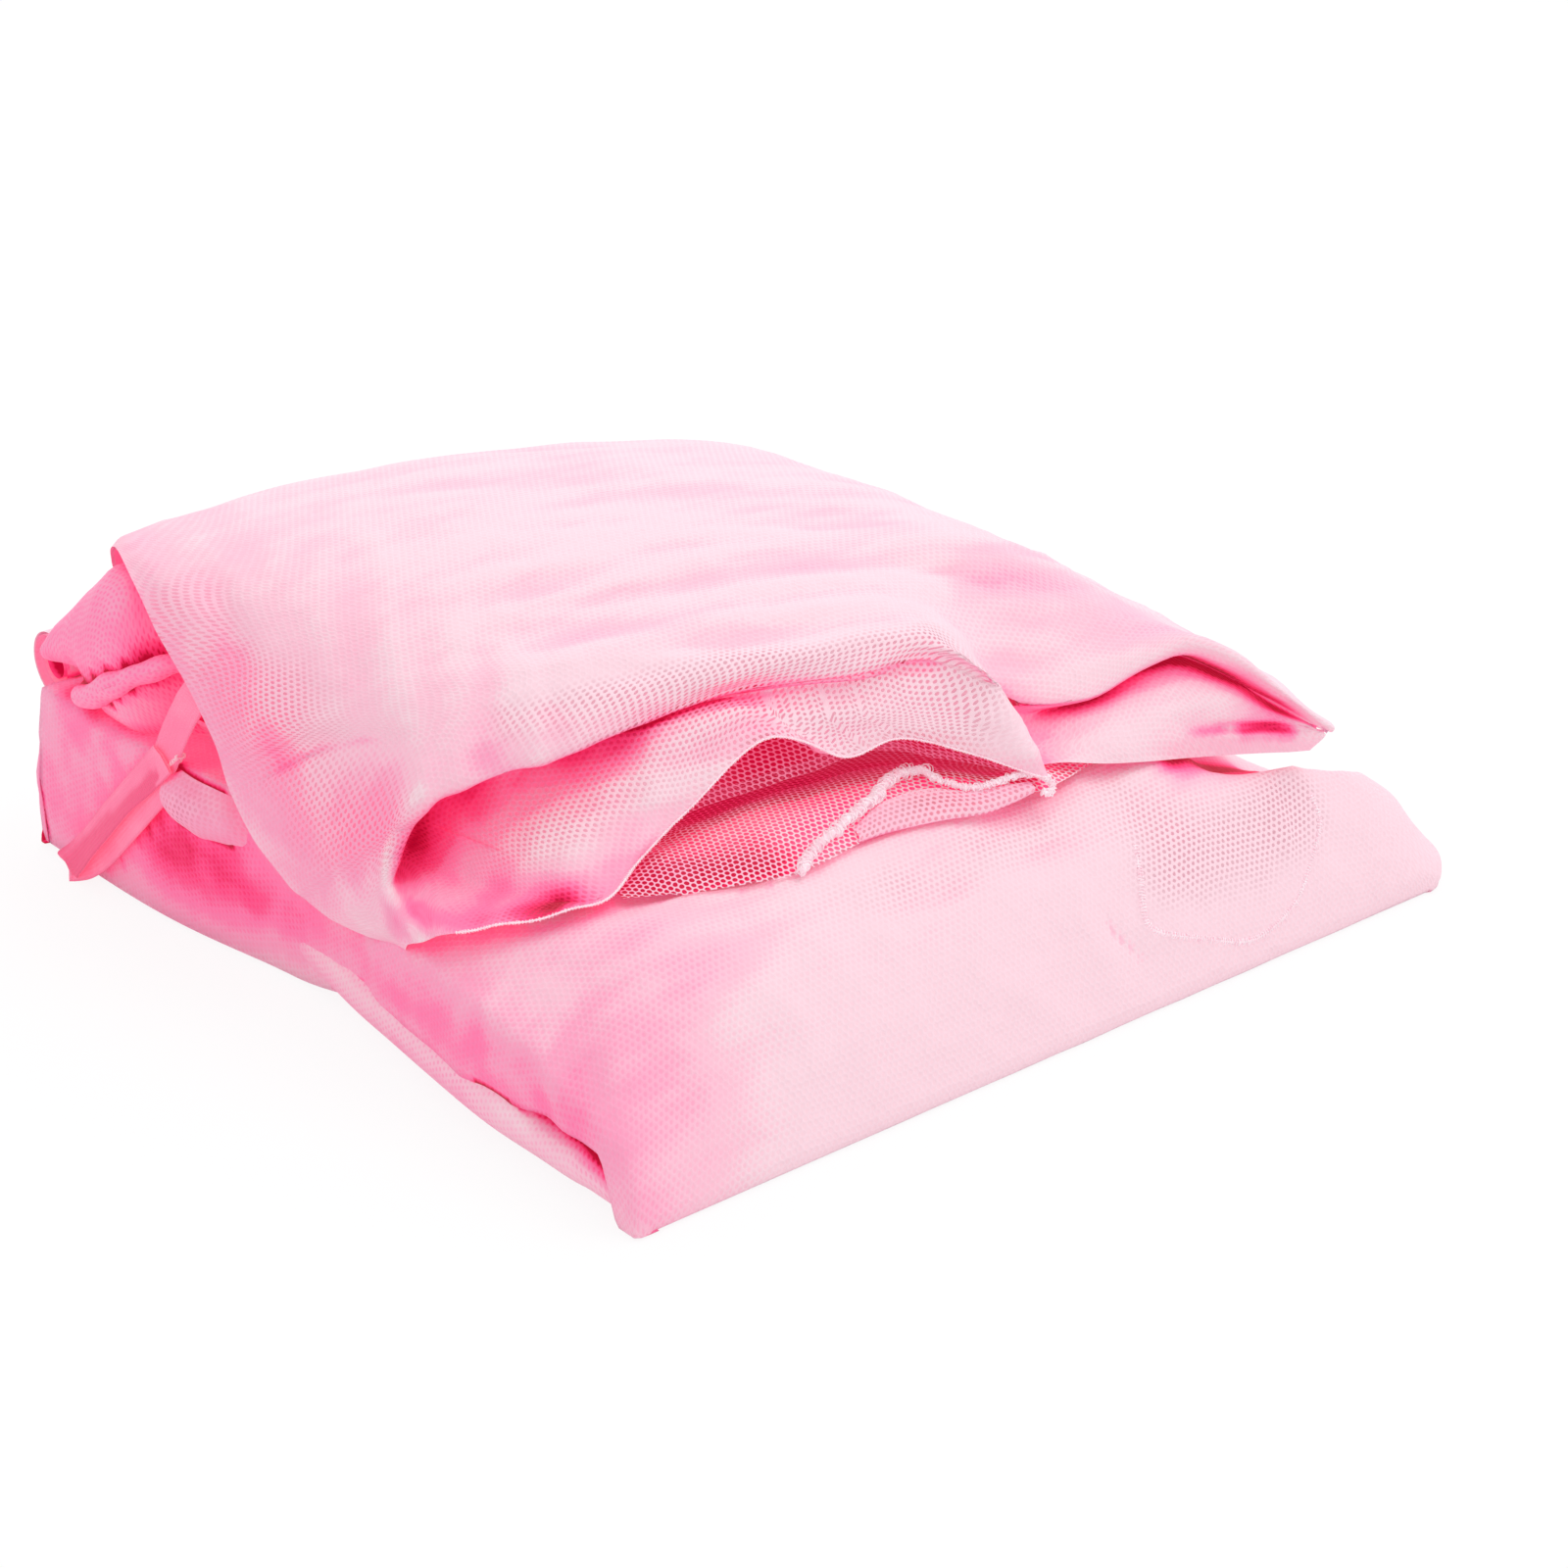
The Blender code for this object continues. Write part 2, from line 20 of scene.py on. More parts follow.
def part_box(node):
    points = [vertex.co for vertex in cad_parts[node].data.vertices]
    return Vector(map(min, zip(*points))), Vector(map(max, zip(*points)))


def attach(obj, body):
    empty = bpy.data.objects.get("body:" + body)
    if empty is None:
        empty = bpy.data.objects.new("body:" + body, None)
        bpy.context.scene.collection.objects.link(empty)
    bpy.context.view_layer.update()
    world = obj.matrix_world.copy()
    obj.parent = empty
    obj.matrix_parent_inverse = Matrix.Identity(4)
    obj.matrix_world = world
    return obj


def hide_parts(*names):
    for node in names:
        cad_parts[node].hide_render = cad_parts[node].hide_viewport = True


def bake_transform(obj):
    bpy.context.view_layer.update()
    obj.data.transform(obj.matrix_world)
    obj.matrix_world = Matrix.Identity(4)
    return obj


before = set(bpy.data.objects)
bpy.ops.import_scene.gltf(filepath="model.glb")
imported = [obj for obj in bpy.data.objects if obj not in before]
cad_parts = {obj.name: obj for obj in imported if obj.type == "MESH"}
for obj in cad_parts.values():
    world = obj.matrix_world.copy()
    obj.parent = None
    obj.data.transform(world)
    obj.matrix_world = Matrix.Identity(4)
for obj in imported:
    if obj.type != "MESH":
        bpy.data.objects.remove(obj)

MM = 0.001
noise_seed = 1
noise.seed_set(noise_seed)
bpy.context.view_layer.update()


def add_object(name, data):
    """New object in the scene."""
    thing = bpy.data.objects.new(name, data)
    bpy.context.scene.collection.objects.link(thing)
    return thing


# %% [markdown]
# ## The camera
#
# The photograph looks down on the near left corner, so the straight front fold runs up to the right.
# A long lens from nearly a metre away keeps the bundle's sides close to parallel, as they are in the photo.

# %% Camera
photo_azimuth = math.radians(-40)
photo_elevation = math.radians(25)
camera_distance = 900 * MM
camera_target = Vector((-14.5, -42, 40)) * MM
lens_length = 81

camera_data = bpy.data.cameras.new("camera")
camera_data.lens = lens_length
camera_data.sensor_width = 36
camera = add_object("camera", camera_data)
towards_camera = Vector((math.sin(photo_azimuth) * math.cos(photo_elevation),
                         -math.cos(photo_azimuth) * math.cos(photo_elevation),
                         math.sin(photo_elevation)))
camera.location = camera_target + towards_camera * camera_distance
camera.rotation_euler = towards_camera.to_track_quat("Z", "Y").to_euler()
bpy.context.scene.camera = camera
print("camera at", tuple(round(c / MM) for c in camera.location), "mm")

# %% [markdown]
# ## Floor and light
#
# The bundle lies on a white table under a big soft light. The floor is near white for light that bounces,
# and for camera rays it is mixed with plain white emission, so it clips to a clean page and still keeps a
# faint shadow. The world gives most of the light, because net is lit from all sides, and two large lamps
# add a direction: the photo's right and top are pale and its left end is a deeper pink.

# %% Helpers for node trees
VECTOR_MATH = "ShaderNodeVectorMath"


def set_inputs(tree, node, inputs):
    """Set a node's inputs, by name or place, each to a value or to what comes out of a socket."""
    for key, value in inputs.items():
        if isinstance(value, bpy.types.NodeSocket):
            tree.links.new(value, node.inputs[key])
        else:
            node.inputs[key].default_value = value


def add_node(tree, kind, inputs=None, **settings):
    """New node with its properties and inputs set."""
    node = tree.nodes.new(kind)
    for name, value in settings.items():
        setattr(node, name, value)
    set_inputs(tree, node, inputs or {})
    return node


def calculate(tree, operation, *values, kind="ShaderNodeMath"):
    """What comes out of a math node for some values or sockets."""
    return add_node(tree, kind, dict(enumerate(values)), operation=operation).outputs[0]


def noise_at(tree, place, **inputs):
    """Smooth noise at a place."""
    return add_node(tree, "ShaderNodeTexNoise", {"Vector": place, **inputs}).outputs["Fac"]


def plus_noise(tree, value, amount, place, **inputs):
    """A value with an amount of smooth noise, which has its middle at 0, added to it."""
    centred = calculate(tree, "SUBTRACT", noise_at(tree, place, **inputs), 0.5)
    return calculate(tree, "MULTIPLY_ADD", centred, amount, value)


def add_bump(tree, height, strength, distance, **inputs):
    """Normal of a surface with a bump; the distance is in millimetres."""
    inputs.update(Height=height, Strength=strength, Distance=distance * MM)
    return add_node(tree, "ShaderNodeBump", inputs).outputs[0]


def new_finish(name):
    """New material, its node tree and its shader node."""
    finish = bpy.data.materials.new(name)
    finish.use_nodes = True
    return finish, finish.node_tree, finish.node_tree.nodes["Principled BSDF"]


def white_for_camera(tree, shade, share, strength=1.0):
    """Shader output that is partly plain white to camera, glossy and transmission rays, else the shade."""
    path = add_node(tree, "ShaderNodeLightPath")
    seen = path.outputs["Is Camera Ray"]
    for ray in ("Is Glossy Ray", "Is Transmission Ray"):
        seen = calculate(tree, "MAXIMUM", seen, path.outputs[ray])
    amount = calculate(tree, "MULTIPLY", seen, share)
    white = add_node(tree, "ShaderNodeEmission", {"Strength": strength})
    return add_node(tree, "ShaderNodeMixShader", {0: amount, 1: shade, 2: white.outputs[0]}).outputs[0]


# %% Floor
floor_size = 6.0
floor_mesh = bpy.data.meshes.new("table_top")
floor_bm = bmesh.new()
bmesh.ops.create_grid(floor_bm, x_segments=2, y_segments=2, size=floor_size / 2)
floor_bm.to_mesh(floor_mesh)
floor_bm.free()
floor = add_object("table_top", floor_mesh)
floor_paint, floor_tree, floor_shader = new_finish("white_table")
set_inputs(floor_tree, floor_shader, {"Base Color": (0.94, 0.94, 0.94, 1), "Roughness": 0.9,
                                      "Specular IOR Level": 0.1})
floor_mix = white_for_camera(floor_tree, floor_shader.outputs[0], 0.86, 1.02)
set_inputs(floor_tree, floor_tree.nodes["Material Output"], {"Surface": floor_mix})
floor_mesh.materials.append(floor_paint)
print("floor", floor_size, "m wide")

# %% World and lamps
world = bpy.data.worlds.new("studio")
bpy.context.scene.world = world
world.use_nodes = True
world_tree = world.node_tree
world_light = world_tree.nodes["Background"]
set_inputs(world_tree, world_light, {"Color": (1.0, 0.985, 0.985, 1), "Strength": 0.8})
world_mix = white_for_camera(world_tree, world_light.outputs[0], 1.0)
set_inputs(world_tree, world_tree.nodes["World Output"], {"Surface": world_mix})


def softbox(name, place, aim, width, power):
    """Square lamp at a place, aimed at a point, with its width in metres and its power in watts."""
    lamp_data = bpy.data.lights.new(name, "AREA")
    lamp_data.size = width
    lamp_data.energy = power
    lamp = add_object(name, lamp_data)
    lamp.location = place
    lamp.rotation_euler = (Vector(place) - Vector(aim)).to_track_quat("Z", "Y").to_euler()


bundle_middle = (0, 0, 0.05)
softbox("key_light", (0.55, -0.25, 1.15), bundle_middle, 0.9, 4.0)
softbox("back_light", (0.35, 0.9, 0.8), bundle_middle, 0.8, 2.5)
bpy.context.scene.view_settings.view_transform = "Standard"

# %% [markdown]
# ## The net
#
# Bed net is knitted: soft threads round six-sided holes, here 1.75 mm from hole to hole. Painting dots would
# look flat from close by, so the outer layer of each cloth is clear in its holes, by Alpha, and a second,
# solid layer lies a millimetre below it. Where the two patterns cross they make the moiré that real folded
# net shows. The pattern is a node group that measures the distance to the nearest of two interleaved grids
# of hole centres, on the cloth's own flat coordinates, so it follows every fold.

# %% Net pattern group
def new_group(name, inputs, outputs):
    """Node group, what comes in and what goes out; inputs are given as name, type and first value."""
    group = bpy.data.node_groups.new(name, "ShaderNodeTree")
    for label, kind, default in inputs:
        socket = group.interface.new_socket(label, in_out="INPUT", socket_type="NodeSocket" + kind)
        if default is not None:
            socket.default_value = default
    for label, kind in outputs:
        group.interface.new_socket(label, in_out="OUTPUT", socket_type="NodeSocket" + kind)
    return group, group.nodes.new("NodeGroupInput").outputs, group.nodes.new("NodeGroupOutput")


def distance_to_grid(tree, place, shift, cell):
    """Distance from a place to the nearest centre of a rectangular grid that is moved by a shift."""
    half_cell = [side / 2 for side in cell]
    moved = calculate(tree, "ADD", place, shift, kind=VECTOR_MATH)
    wrapped = calculate(tree, "WRAP", moved, half_cell, [-side for side in half_cell], kind=VECTOR_MATH)
    flat = calculate(tree, "MULTIPLY", wrapped, (1, 1, 0), kind=VECTOR_MATH)
    return add_node(tree, VECTOR_MATH, {0: flat}, operation="LENGTH").outputs["Value"]


HEX_CELL = (1.0, math.sqrt(3), 1.0)

net_group, net_in, net_out = new_group(
    "hexagonal net",
    [("Flat", "Vector", None), ("Pitch", "Float", 1.75), ("Hole", "Float", 0.22), ("Edge", "Float", 0.1),
     ("Wander", "Float", 0.2)],
    [("Thread", "Float"), ("Relief", "Float")])
scaled = calculate(net_group, "DIVIDE", net_in["Flat"], net_in["Pitch"], kind=VECTOR_MATH)
wander = add_node(net_group, "ShaderNodeTexNoise", {"Vector": scaled, "Scale": 0.9, "Detail": 1.0},
                  noise_dimensions="2D")
centred = calculate(net_group, "SUBTRACT", wander.outputs["Color"], (0.5, 0.5, 0.5), kind=VECTOR_MATH)
swayed = calculate(net_group, "MULTIPLY_ADD", centred, net_in["Wander"], scaled, kind=VECTOR_MATH)
nearest = calculate(net_group, "MINIMUM", distance_to_grid(net_group, swayed, (0, 0, 0), HEX_CELL),
                    distance_to_grid(net_group, swayed, (0.5, math.sqrt(3) / 2, 0), HEX_CELL))
rim = calculate(net_group, "ADD", net_in["Hole"], net_in["Edge"])
for outcome, outer_end in (("Thread", rim), ("Relief", 0.56)):
    slope = add_node(net_group, "ShaderNodeMapRange",
                     {"Value": nearest, "From Min": net_in["Hole"], "From Max": outer_end},
                     interpolation_type="SMOOTHSTEP")
    set_inputs(net_group, net_out, {outcome: slope.outputs[0]})
print("net group with", len(net_group.nodes), "nodes")

# %% [markdown]
# ## Where the holes show
#
# Where many layers lie tight against each other, their threads fill each other's holes and the cloth looks
# smooth. Where one layer stands free, on a fold or a lip, its holes show. So each cloth carries a second
# painted value, "airy", and this group adds slow noise to it to say how far the holes are filled.

# %% Filled holes group
fill_group, fill_in, fill_out = new_group(
    "filled holes",
    [("Airy", "Float", 0.0), ("Place", "Vector", None), ("Patches", "Float", 0.7)],
    [("Filled", "Float")])
patchy = plus_noise(fill_group, fill_in["Airy"], fill_in["Patches"], fill_in["Place"],
                    Scale=34.0, Detail=2.0, Roughness=0.5)
filled = add_node(fill_group, "ShaderNodeMapRange",
                  {"Value": patchy, "From Min": 0.14, "From Max": 0.85, "To Min": 0.96, "To Max": 0.0},
                  interpolation_type="SMOOTHSTEP")
set_inputs(fill_group, fill_out, {"Filled": filled.outputs[0]})
print("filled holes group with", len(fill_group.nodes), "nodes")

# %% [markdown]
# ## The pinks
# One layer of this net is nearly white, and every layer behind it adds pink. So the colour is worked out from
# depth: each vertex later gets a value from 0, in the open, to 1, far inside a fold, measured with rays. The
# value is partly the pink of the layers behind and partly painted shade, so that a deep fold is painted
# crimson. A third node group turns it, with some slow noise, into the thread's colour and into a painted
# glow, an emission that stands in for light that has passed through many layers.

# %% Pink colour group
def colour_ramp(tree, value, stops):
    """Colour of a value by a ramp, which is given as pairs of place and colour."""
    ramp = add_node(tree, "ShaderNodeValToRGB", {0: value})
    ramp.color_ramp.interpolation = "EASE"
    ramp.color_ramp.elements[0].position, ramp.color_ramp.elements[0].color = stops[0]
    ramp.color_ramp.elements[1].position, ramp.color_ramp.elements[1].color = stops[-1]
    for position, colour in stops[1:-1]:
        ramp.color_ramp.elements.new(position).color = colour
    return ramp.outputs[0]


pink_group, pink_in, pink_out = new_group(
    "pink by depth",
    [("Depth", "Float", 0.0), ("Thread", "Float", 1.0), ("Place", "Vector", None),
     ("Hole Depth", "Float", 0.1), ("Mottle", "Float", 0.15), ("Streak", "Float", 0.15)],
    [("Color", "Color"), ("Glow", "Color")])
mottled = plus_noise(pink_group, pink_in["Depth"], pink_in["Mottle"], pink_in["Place"],
                     Scale=30.0, Detail=4.0, Roughness=0.55)
combed = add_node(pink_group, "ShaderNodeMapping",
                  {"Vector": pink_in["Place"], "Rotation": (0, 0, math.radians(24)),
                   "Scale": (0.22, 1.0, 1.0)})
streaked = plus_noise(pink_group, mottled, pink_in["Streak"], combed.outputs[0],
                      Scale=170.0, Detail=3.0, Roughness=0.55)
gap = calculate(pink_group, "SUBTRACT", 1.0, pink_in["Thread"])
deeper = calculate(pink_group, "MULTIPLY_ADD", gap, pink_in["Hole Depth"], streaked)
thread_colour = colour_ramp(pink_group, deeper, [
    (0.0, (1.0, 0.72, 0.80, 1)), (0.16, (0.99, 0.57, 0.69, 1)), (0.34, (0.97, 0.36, 0.54, 1)),
    (0.52, (0.95, 0.19, 0.39, 1)), (0.7, (0.9, 0.07, 0.22, 1)), (0.86, (0.74, 0.012, 0.08, 1)),
    (1.0, (0.45, 0.0, 0.025, 1))])
# Painted glow: an emission colour that follows the depth, which holds painted shade.
painted_glow_colour = colour_ramp(pink_group, deeper, [
    (0.0, (0.05, 0.03, 0.036, 1)), (0.3, (0.1, 0.04, 0.065, 1)), (0.55, (0.19, 0.045, 0.095, 1)),
    (0.8, (0.27, 0.012, 0.065, 1)), (1.0, (0.17, 0.0, 0.015, 1))])
set_inputs(pink_group, pink_out, {"Color": thread_colour, "Glow": painted_glow_colour})
print("pink group with", len(pink_group.nodes), "nodes")


# %% Cloth materials
def set_cloth_surface(tree, shader, roughness=0.85, **inputs):
    """Soft matt sheen of knitted polyester, with the other inputs by name, an underscore for each space."""
    named = {name.replace("_", " "): value for name, value in inputs.items()}
    set_inputs(tree, shader, {"Roughness": roughness, "Specular IOR Level": 0.2, "Sheen Weight": 0.15,
                              "Sheen Roughness": 0.5, "Sheen Tint": (1.0, 0.84, 0.9, 1), **named})


# Painted shade: the back of a cloth, which faces into the folds, is painted deeper pink by this much.
BACK_SHADE = 0.18


def net_material(name, see_through, extra_depth=0.0, extra_airy=0.0, hole=0.22, hole_depth=0.1, glow=1.0):
    """Net cloth: clear in its holes where it is see-through, else the same knit painted on a solid layer."""
    finish, tree, shader = new_finish(name)
    flat = add_node(tree, "ShaderNodeUVMap", uv_map="flat").outputs["UV"]
    place = add_node(tree, "ShaderNodeTexCoord").outputs["Object"]
    depth = add_node(tree, "ShaderNodeAttribute", attribute_name="depth").outputs["Fac"]
    # The painted shade from the depth attribute, made deeper on the back side.
    backfacing = add_node(tree, "ShaderNodeNewGeometry").outputs["Backfacing"]
    behind = calculate(tree, "MULTIPLY_ADD", backfacing, BACK_SHADE, depth)
    total = calculate(tree, "ADD", behind, extra_depth)
    net = add_node(tree, "ShaderNodeGroup", {"Flat": flat, "Hole": hole}, node_tree=net_group).outputs
    pink = add_node(tree, "ShaderNodeGroup", {"Depth": total, "Place": place, "Thread": net["Thread"],
                                              "Hole Depth": hole_depth}, node_tree=pink_group).outputs
    if see_through:
        airy = add_node(tree, "ShaderNodeAttribute", attribute_name="airy").outputs["Fac"]
        more_airy = calculate(tree, "ADD", airy, extra_airy)
        fill = add_node(tree, "ShaderNodeGroup", {"Airy": more_airy, "Place": place}, node_tree=fill_group)
        alpha = calculate(tree, "MAXIMUM", net["Thread"], fill.outputs["Filled"])
        set_inputs(tree, shader, {"Alpha": alpha})
    crumple = noise_at(tree, place, Scale=130.0, Detail=3.0, Roughness=0.5)
    soft_bump = add_bump(tree, crumple, 0.5, 1.6)
    knit_bump = add_bump(tree, net["Relief"], 0.35 if see_through else 0.12, 0.3, Normal=soft_bump)
    # The emission, set by the glow, is a painted glow that keeps the net pink and bright in its own shade.
    set_cloth_surface(tree, shader, Base_Color=pink["Color"], Emission_Color=pink["Glow"],
                      Emission_Strength=glow, Normal=knit_bump)
    return finish


# Extra depth deepens a finish's pink: for the layers behind others it is painted shade as well as the pink of
# more layers, and each glow is a painted glow. The deep crimson layer, seen through the mouth's holes, is
# painted shade.
outer_net = net_material("pink_net_outer", True, hole_depth=0.05)
solid_net = net_material("pink_net_layers", False, extra_depth=0.18, glow=1.5, hole_depth=0.04)
rolled_net = net_material("pink_net_rolled", False, extra_depth=0.2, glow=1.0, hole_depth=0.12)
mouth_net = net_material("pink_net_single", True, extra_depth=-0.14, extra_airy=0.75, hole=0.33,
                         hole_depth=0.2)
shaded_crimson_net = net_material("pink_net_deep_shade", False, extra_depth=0.62, glow=1.6, hole_depth=0.1)
print("materials", [m.name for m in bpy.data.materials])

# %% [markdown]
# ## Cloth from rails
#
# A folded cloth is hard to simulate into a given shape, and easy to draft: a few rails, each a short list
# of points across the cloth, are joined by smooth curves into a fine grid, as a sail or a ship's hull is
# lofted. Strokes then press creases in or raise ridges along drawn lines, with a soft width. The grid
# also gives the cloth's flat coordinates, measured along its own rows and columns.

# %% Curves and lofts
def through(points, count):
    """Points on a smooth curve through control points, or through whole rails of them."""
    points = np.asarray(points, float)
    spans = len(points) - 1
    place = np.linspace(0, spans, count)
    index = np.minimum(place.astype(int), spans - 1)
    t = (place - index).reshape(-1, *[1] * (points.ndim - 1))
    padded = np.concatenate([[2 * points[0] - points[1]], points, [2 * points[-1] - points[-2]]])
    p0, p1, p2, p3 = (padded[index + step] for step in range(4))
    return 0.5 * (2 * p1 + (p2 - p0) * t + (2 * p0 - 5 * p1 + 4 * p2 - p3) * t ** 2
                  + (3 * p1 - 3 * p2 + p3 - p0) * t ** 3)


def loft(rails, columns, rows):
    """Grid of points through rails, each a list of points in millimetres from left to right."""
    across = [through(rail, columns) for rail in rails]
    return through(np.array(across), rows) * MM


def outward_normals(grid):
    """Unit normals of a grid of points, on the side where its columns and rows turn anticlockwise."""
    across = np.gradient(grid, axis=1)
    down = np.gradient(grid, axis=0)
    normals = np.cross(across, down)
    return normals / np.maximum(np.linalg.norm(normals, axis=2, keepdims=True), 1e-12)


def offset(grid, distance):
    """Grid moved along its normals by a distance in millimetres."""
    return grid + outward_normals(grid) * distance * MM


def search_tree(grid):
    """Search tree over a grid's faces."""
    rows, columns = grid.shape[:2]
    starts = [row * columns + column for row in range(rows - 1) for column in range(columns - 1)]
    faces = [(start, start + 1, start + columns + 1, start + columns) for start in starts]
    return BVHTree.FromPolygons([Vector(spot) for spot in grid.reshape(-1, 3)], faces)


def layer_under(grid, distance):
    """Layer under a cloth: as deep as there is room for, so that it doesn't come out of a tight fold."""
    tree = search_tree(grid)
    normals = outward_normals(grid)
    rooms = []
    for spot, normal in zip(grid.reshape(-1, 3), normals.reshape(-1, 3)):
        start = Vector(spot) - Vector(normal) * 0.15 * MM
        hit = tree.ray_cast(start, -Vector(normal), 4 * distance * MM)
        rooms.append(distance if hit[3] is None else min(distance, 0.3 * hit[3] / MM))
    rooms = np.array(rooms).reshape(grid.shape[:2])
    for _ in range(3):
        edged = np.pad(rooms, 1, mode="edge")
        around = edged[:-2, 1:-1] + edged[2:, 1:-1] + edged[1:-1, :-2] + edged[1:-1, 2:]
        rooms = np.minimum(rooms, around / 4)
    return grid - normals * (rooms * MM)[:, :, None]


def smooth_step(value):
    """S-curve from 0 to 1."""
    value = np.clip(value, 0, 1)
    return value * value * (3 - 2 * value)


# %% Strokes
def stroke_strength(grid, stroke, width, fade=0.3):
    """How strongly a stroke touches each point: 1 on its line, which is first laid onto the cloth."""
    flat = grid.reshape(-1, 3)
    marks = np.array(stroke, float) * MM
    on_cloth = flat[np.linalg.norm(flat[None] - marks[:, None], axis=2).argmin(axis=1)]
    line = through(on_cloth, 12 * len(marks))
    gaps = np.linalg.norm(flat[:, None, :] - line, axis=2)
    share = gaps.argmin(axis=1) / (len(line) - 1)
    ends = smooth_step(share / fade) * smooth_step((1 - share) / fade) if fade else 1.0
    return (ends * np.exp(-(gaps.min(axis=1) / (width * MM)) ** 2)).reshape(grid.shape[:2])


def press(grid, stroke, height, width, fade=0.3):
    """Raise the cloth along a stroke of points in millimetres, or sink it where the height is below 0."""
    return offset_by(grid, height * stroke_strength(grid, stroke, width, fade))


def offset_by(grid, heights):
    """Grid moved along its normals by a height in millimetres for each point."""
    return grid + outward_normals(grid) * (heights * MM)[:, :, None]


def crease(grid, stroke, depth, width, fade=0.3):
    """Sharp crease with a soft ridge on both sides, as a folded cloth keeps."""
    grid = press(grid, stroke, depth * 0.6, width * 2.6, fade)
    return press(grid, stroke, -depth * 1.6, width, fade)


def seed_place(seed):
    """Where in the noise a seed starts."""
    return Vector((seed * 7.3, seed * 3.1, seed * 5.7))


def rumple(grid, height, size, seed, stretch=(1.0, 1.0, 1.0), ridged=False):
    """Push the cloth in and out along its normals by smooth noise, with a size in millimetres."""
    start = seed_place(seed)
    scale = Vector(stretch) / (size * MM)
    pushes = np.array([noise.noise(Vector((x * scale.x, y * scale.y, z * scale.z)) + start)
                       for x, y, z in grid.reshape(-1, 3)])
    if ridged:
        pushes = 0.5 - 2 * np.abs(pushes)
    return offset_by(grid, pushes.reshape(grid.shape[:2]) * height)


def folds(grid, size, seed, along, length):
    """Fine folds that run along a direction: a value for each point, above 0 on ridges."""
    along = np.array(along, float) / np.linalg.norm(along)
    spots = grid.reshape(-1, 3) / MM
    run = spots @ along
    spots = spots - np.outer(run * (1 - 1 / length), along)
    values = []
    for spot in spots:
        place = Vector(spot / size) + seed_place(seed)
        values.append(0.5 - 2 * abs(noise.noise(place)) + 0.6 * noise.noise(place * 2.3))
    return np.array(values).reshape(grid.shape[:2])


def near(grid, place, reach):
    """How near each point is to a place: 1 on it, and fading over a distance; all in millimetres."""
    gaps = np.linalg.norm(grid / MM - np.array(place, float), axis=2)
    return np.exp(-(gaps / reach) ** 2)


# %% Cloth pieces
def flat_coordinates(grid):
    """Where each point of a grid lies on the flat cloth, in millimetres from its middle."""
    across = np.cumsum(np.linalg.norm(np.diff(grid, axis=1, prepend=grid[:, :1]), axis=2), axis=1)
    down = np.cumsum(np.linalg.norm(np.diff(grid, axis=0, prepend=grid[:1]), axis=2), axis=0)
    across -= across[:, across.shape[1] // 2][:, None]
    down -= down[down.shape[0] // 2][None, :]
    return np.stack([across, down], axis=2) / MM


class Cloth:
    """One sheet of cloth: its piece, its grid, the body that it rides on and its painted values."""

    def __init__(self, name, grid, finish, body, under=None, skip=0):
        self.grid = grid
        self.body = body
        self.under = under
        self.skip = skip
        self.painted = {"depth": np.zeros(grid.shape[:2]), "airy": np.zeros(grid.shape[:2])}
        rows, columns = grid.shape[:2]
        bm = bmesh.new()
        bmesh.ops.create_grid(bm, x_segments=columns - 1, y_segments=rows - 1, size=0.5)
        for vert, spot in zip(bm.verts, grid.reshape(-1, 3)):
            vert.co = spot
        mesh = bpy.data.meshes.new(name)
        bm.to_mesh(mesh)
        bm.free()
        flat = flat_coordinates(grid).reshape(-1, 2)
        corners = np.zeros(len(mesh.loops), int)
        mesh.loops.foreach_get("vertex_index", corners)
        mesh.uv_layers.new(name="flat").data.foreach_set("uv", flat[corners].ravel())
        mesh.materials.append(finish)
        mesh.shade_smooth()
        self.piece = add_object(name, mesh)
        steps_across = np.linalg.norm(np.diff(grid, axis=1), axis=2).sum(axis=1)
        steps_down = np.linalg.norm(np.diff(grid, axis=0), axis=2).sum(axis=0)
        self.cut = (float(steps_across.mean()), float(steps_down.mean()))
        print(name, "grid", rows, "x", columns, "cut", [round(side / MM) for side in self.cut], "mm")

    def paint(self, value, *strokes):
        """Add to a painted value along strokes: each its points, its amount, its width and any fade."""
        for points, amount, width, *fade in strokes:
            self.painted[value] += amount * stroke_strength(self.grid, points, width, *(fade or [0.0]))


cloths = []


def lay(name, grid, finish, body, **more):
    """Make a cloth and note it."""
    cloth = Cloth(name, grid, finish, body, **more)
    cloths.append(cloth)
    return cloth


# %% [markdown]
# ## The lower pack's wrap
#
# The long far-side curtain is the outside of the lower pack. It starts at the back, crosses the top,
# slopes down to the straight front fold on the table, turns there and runs back underneath. Its height
# over the table follows a rule, like a pillow's: full in the middle, thin at the front fold, lower at the
# near left corner, drawn in at the left by a waist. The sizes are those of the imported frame. At the left
# the cloth rolls over and hangs to a soft ridge, and behind that down to the table. At the right it
# curls under.

# %% The lower pack's settled shape
half_width = 137
half_depth = 139
lower_height = 48
front_slope = 45
side_round = 40
right_round = 90
corner_round = 30
plan_round = 13
pack_back = 118.9


def ease(value):
    """Quarter sine from 0 to 1, steep first and flat last."""
    return np.sin(np.pi / 2 * np.clip(value, 0, 1))


def lift(low, share):
    """Value that goes from low to 1 as the share goes from 0 to 1."""
    return low + (1 - low) * share


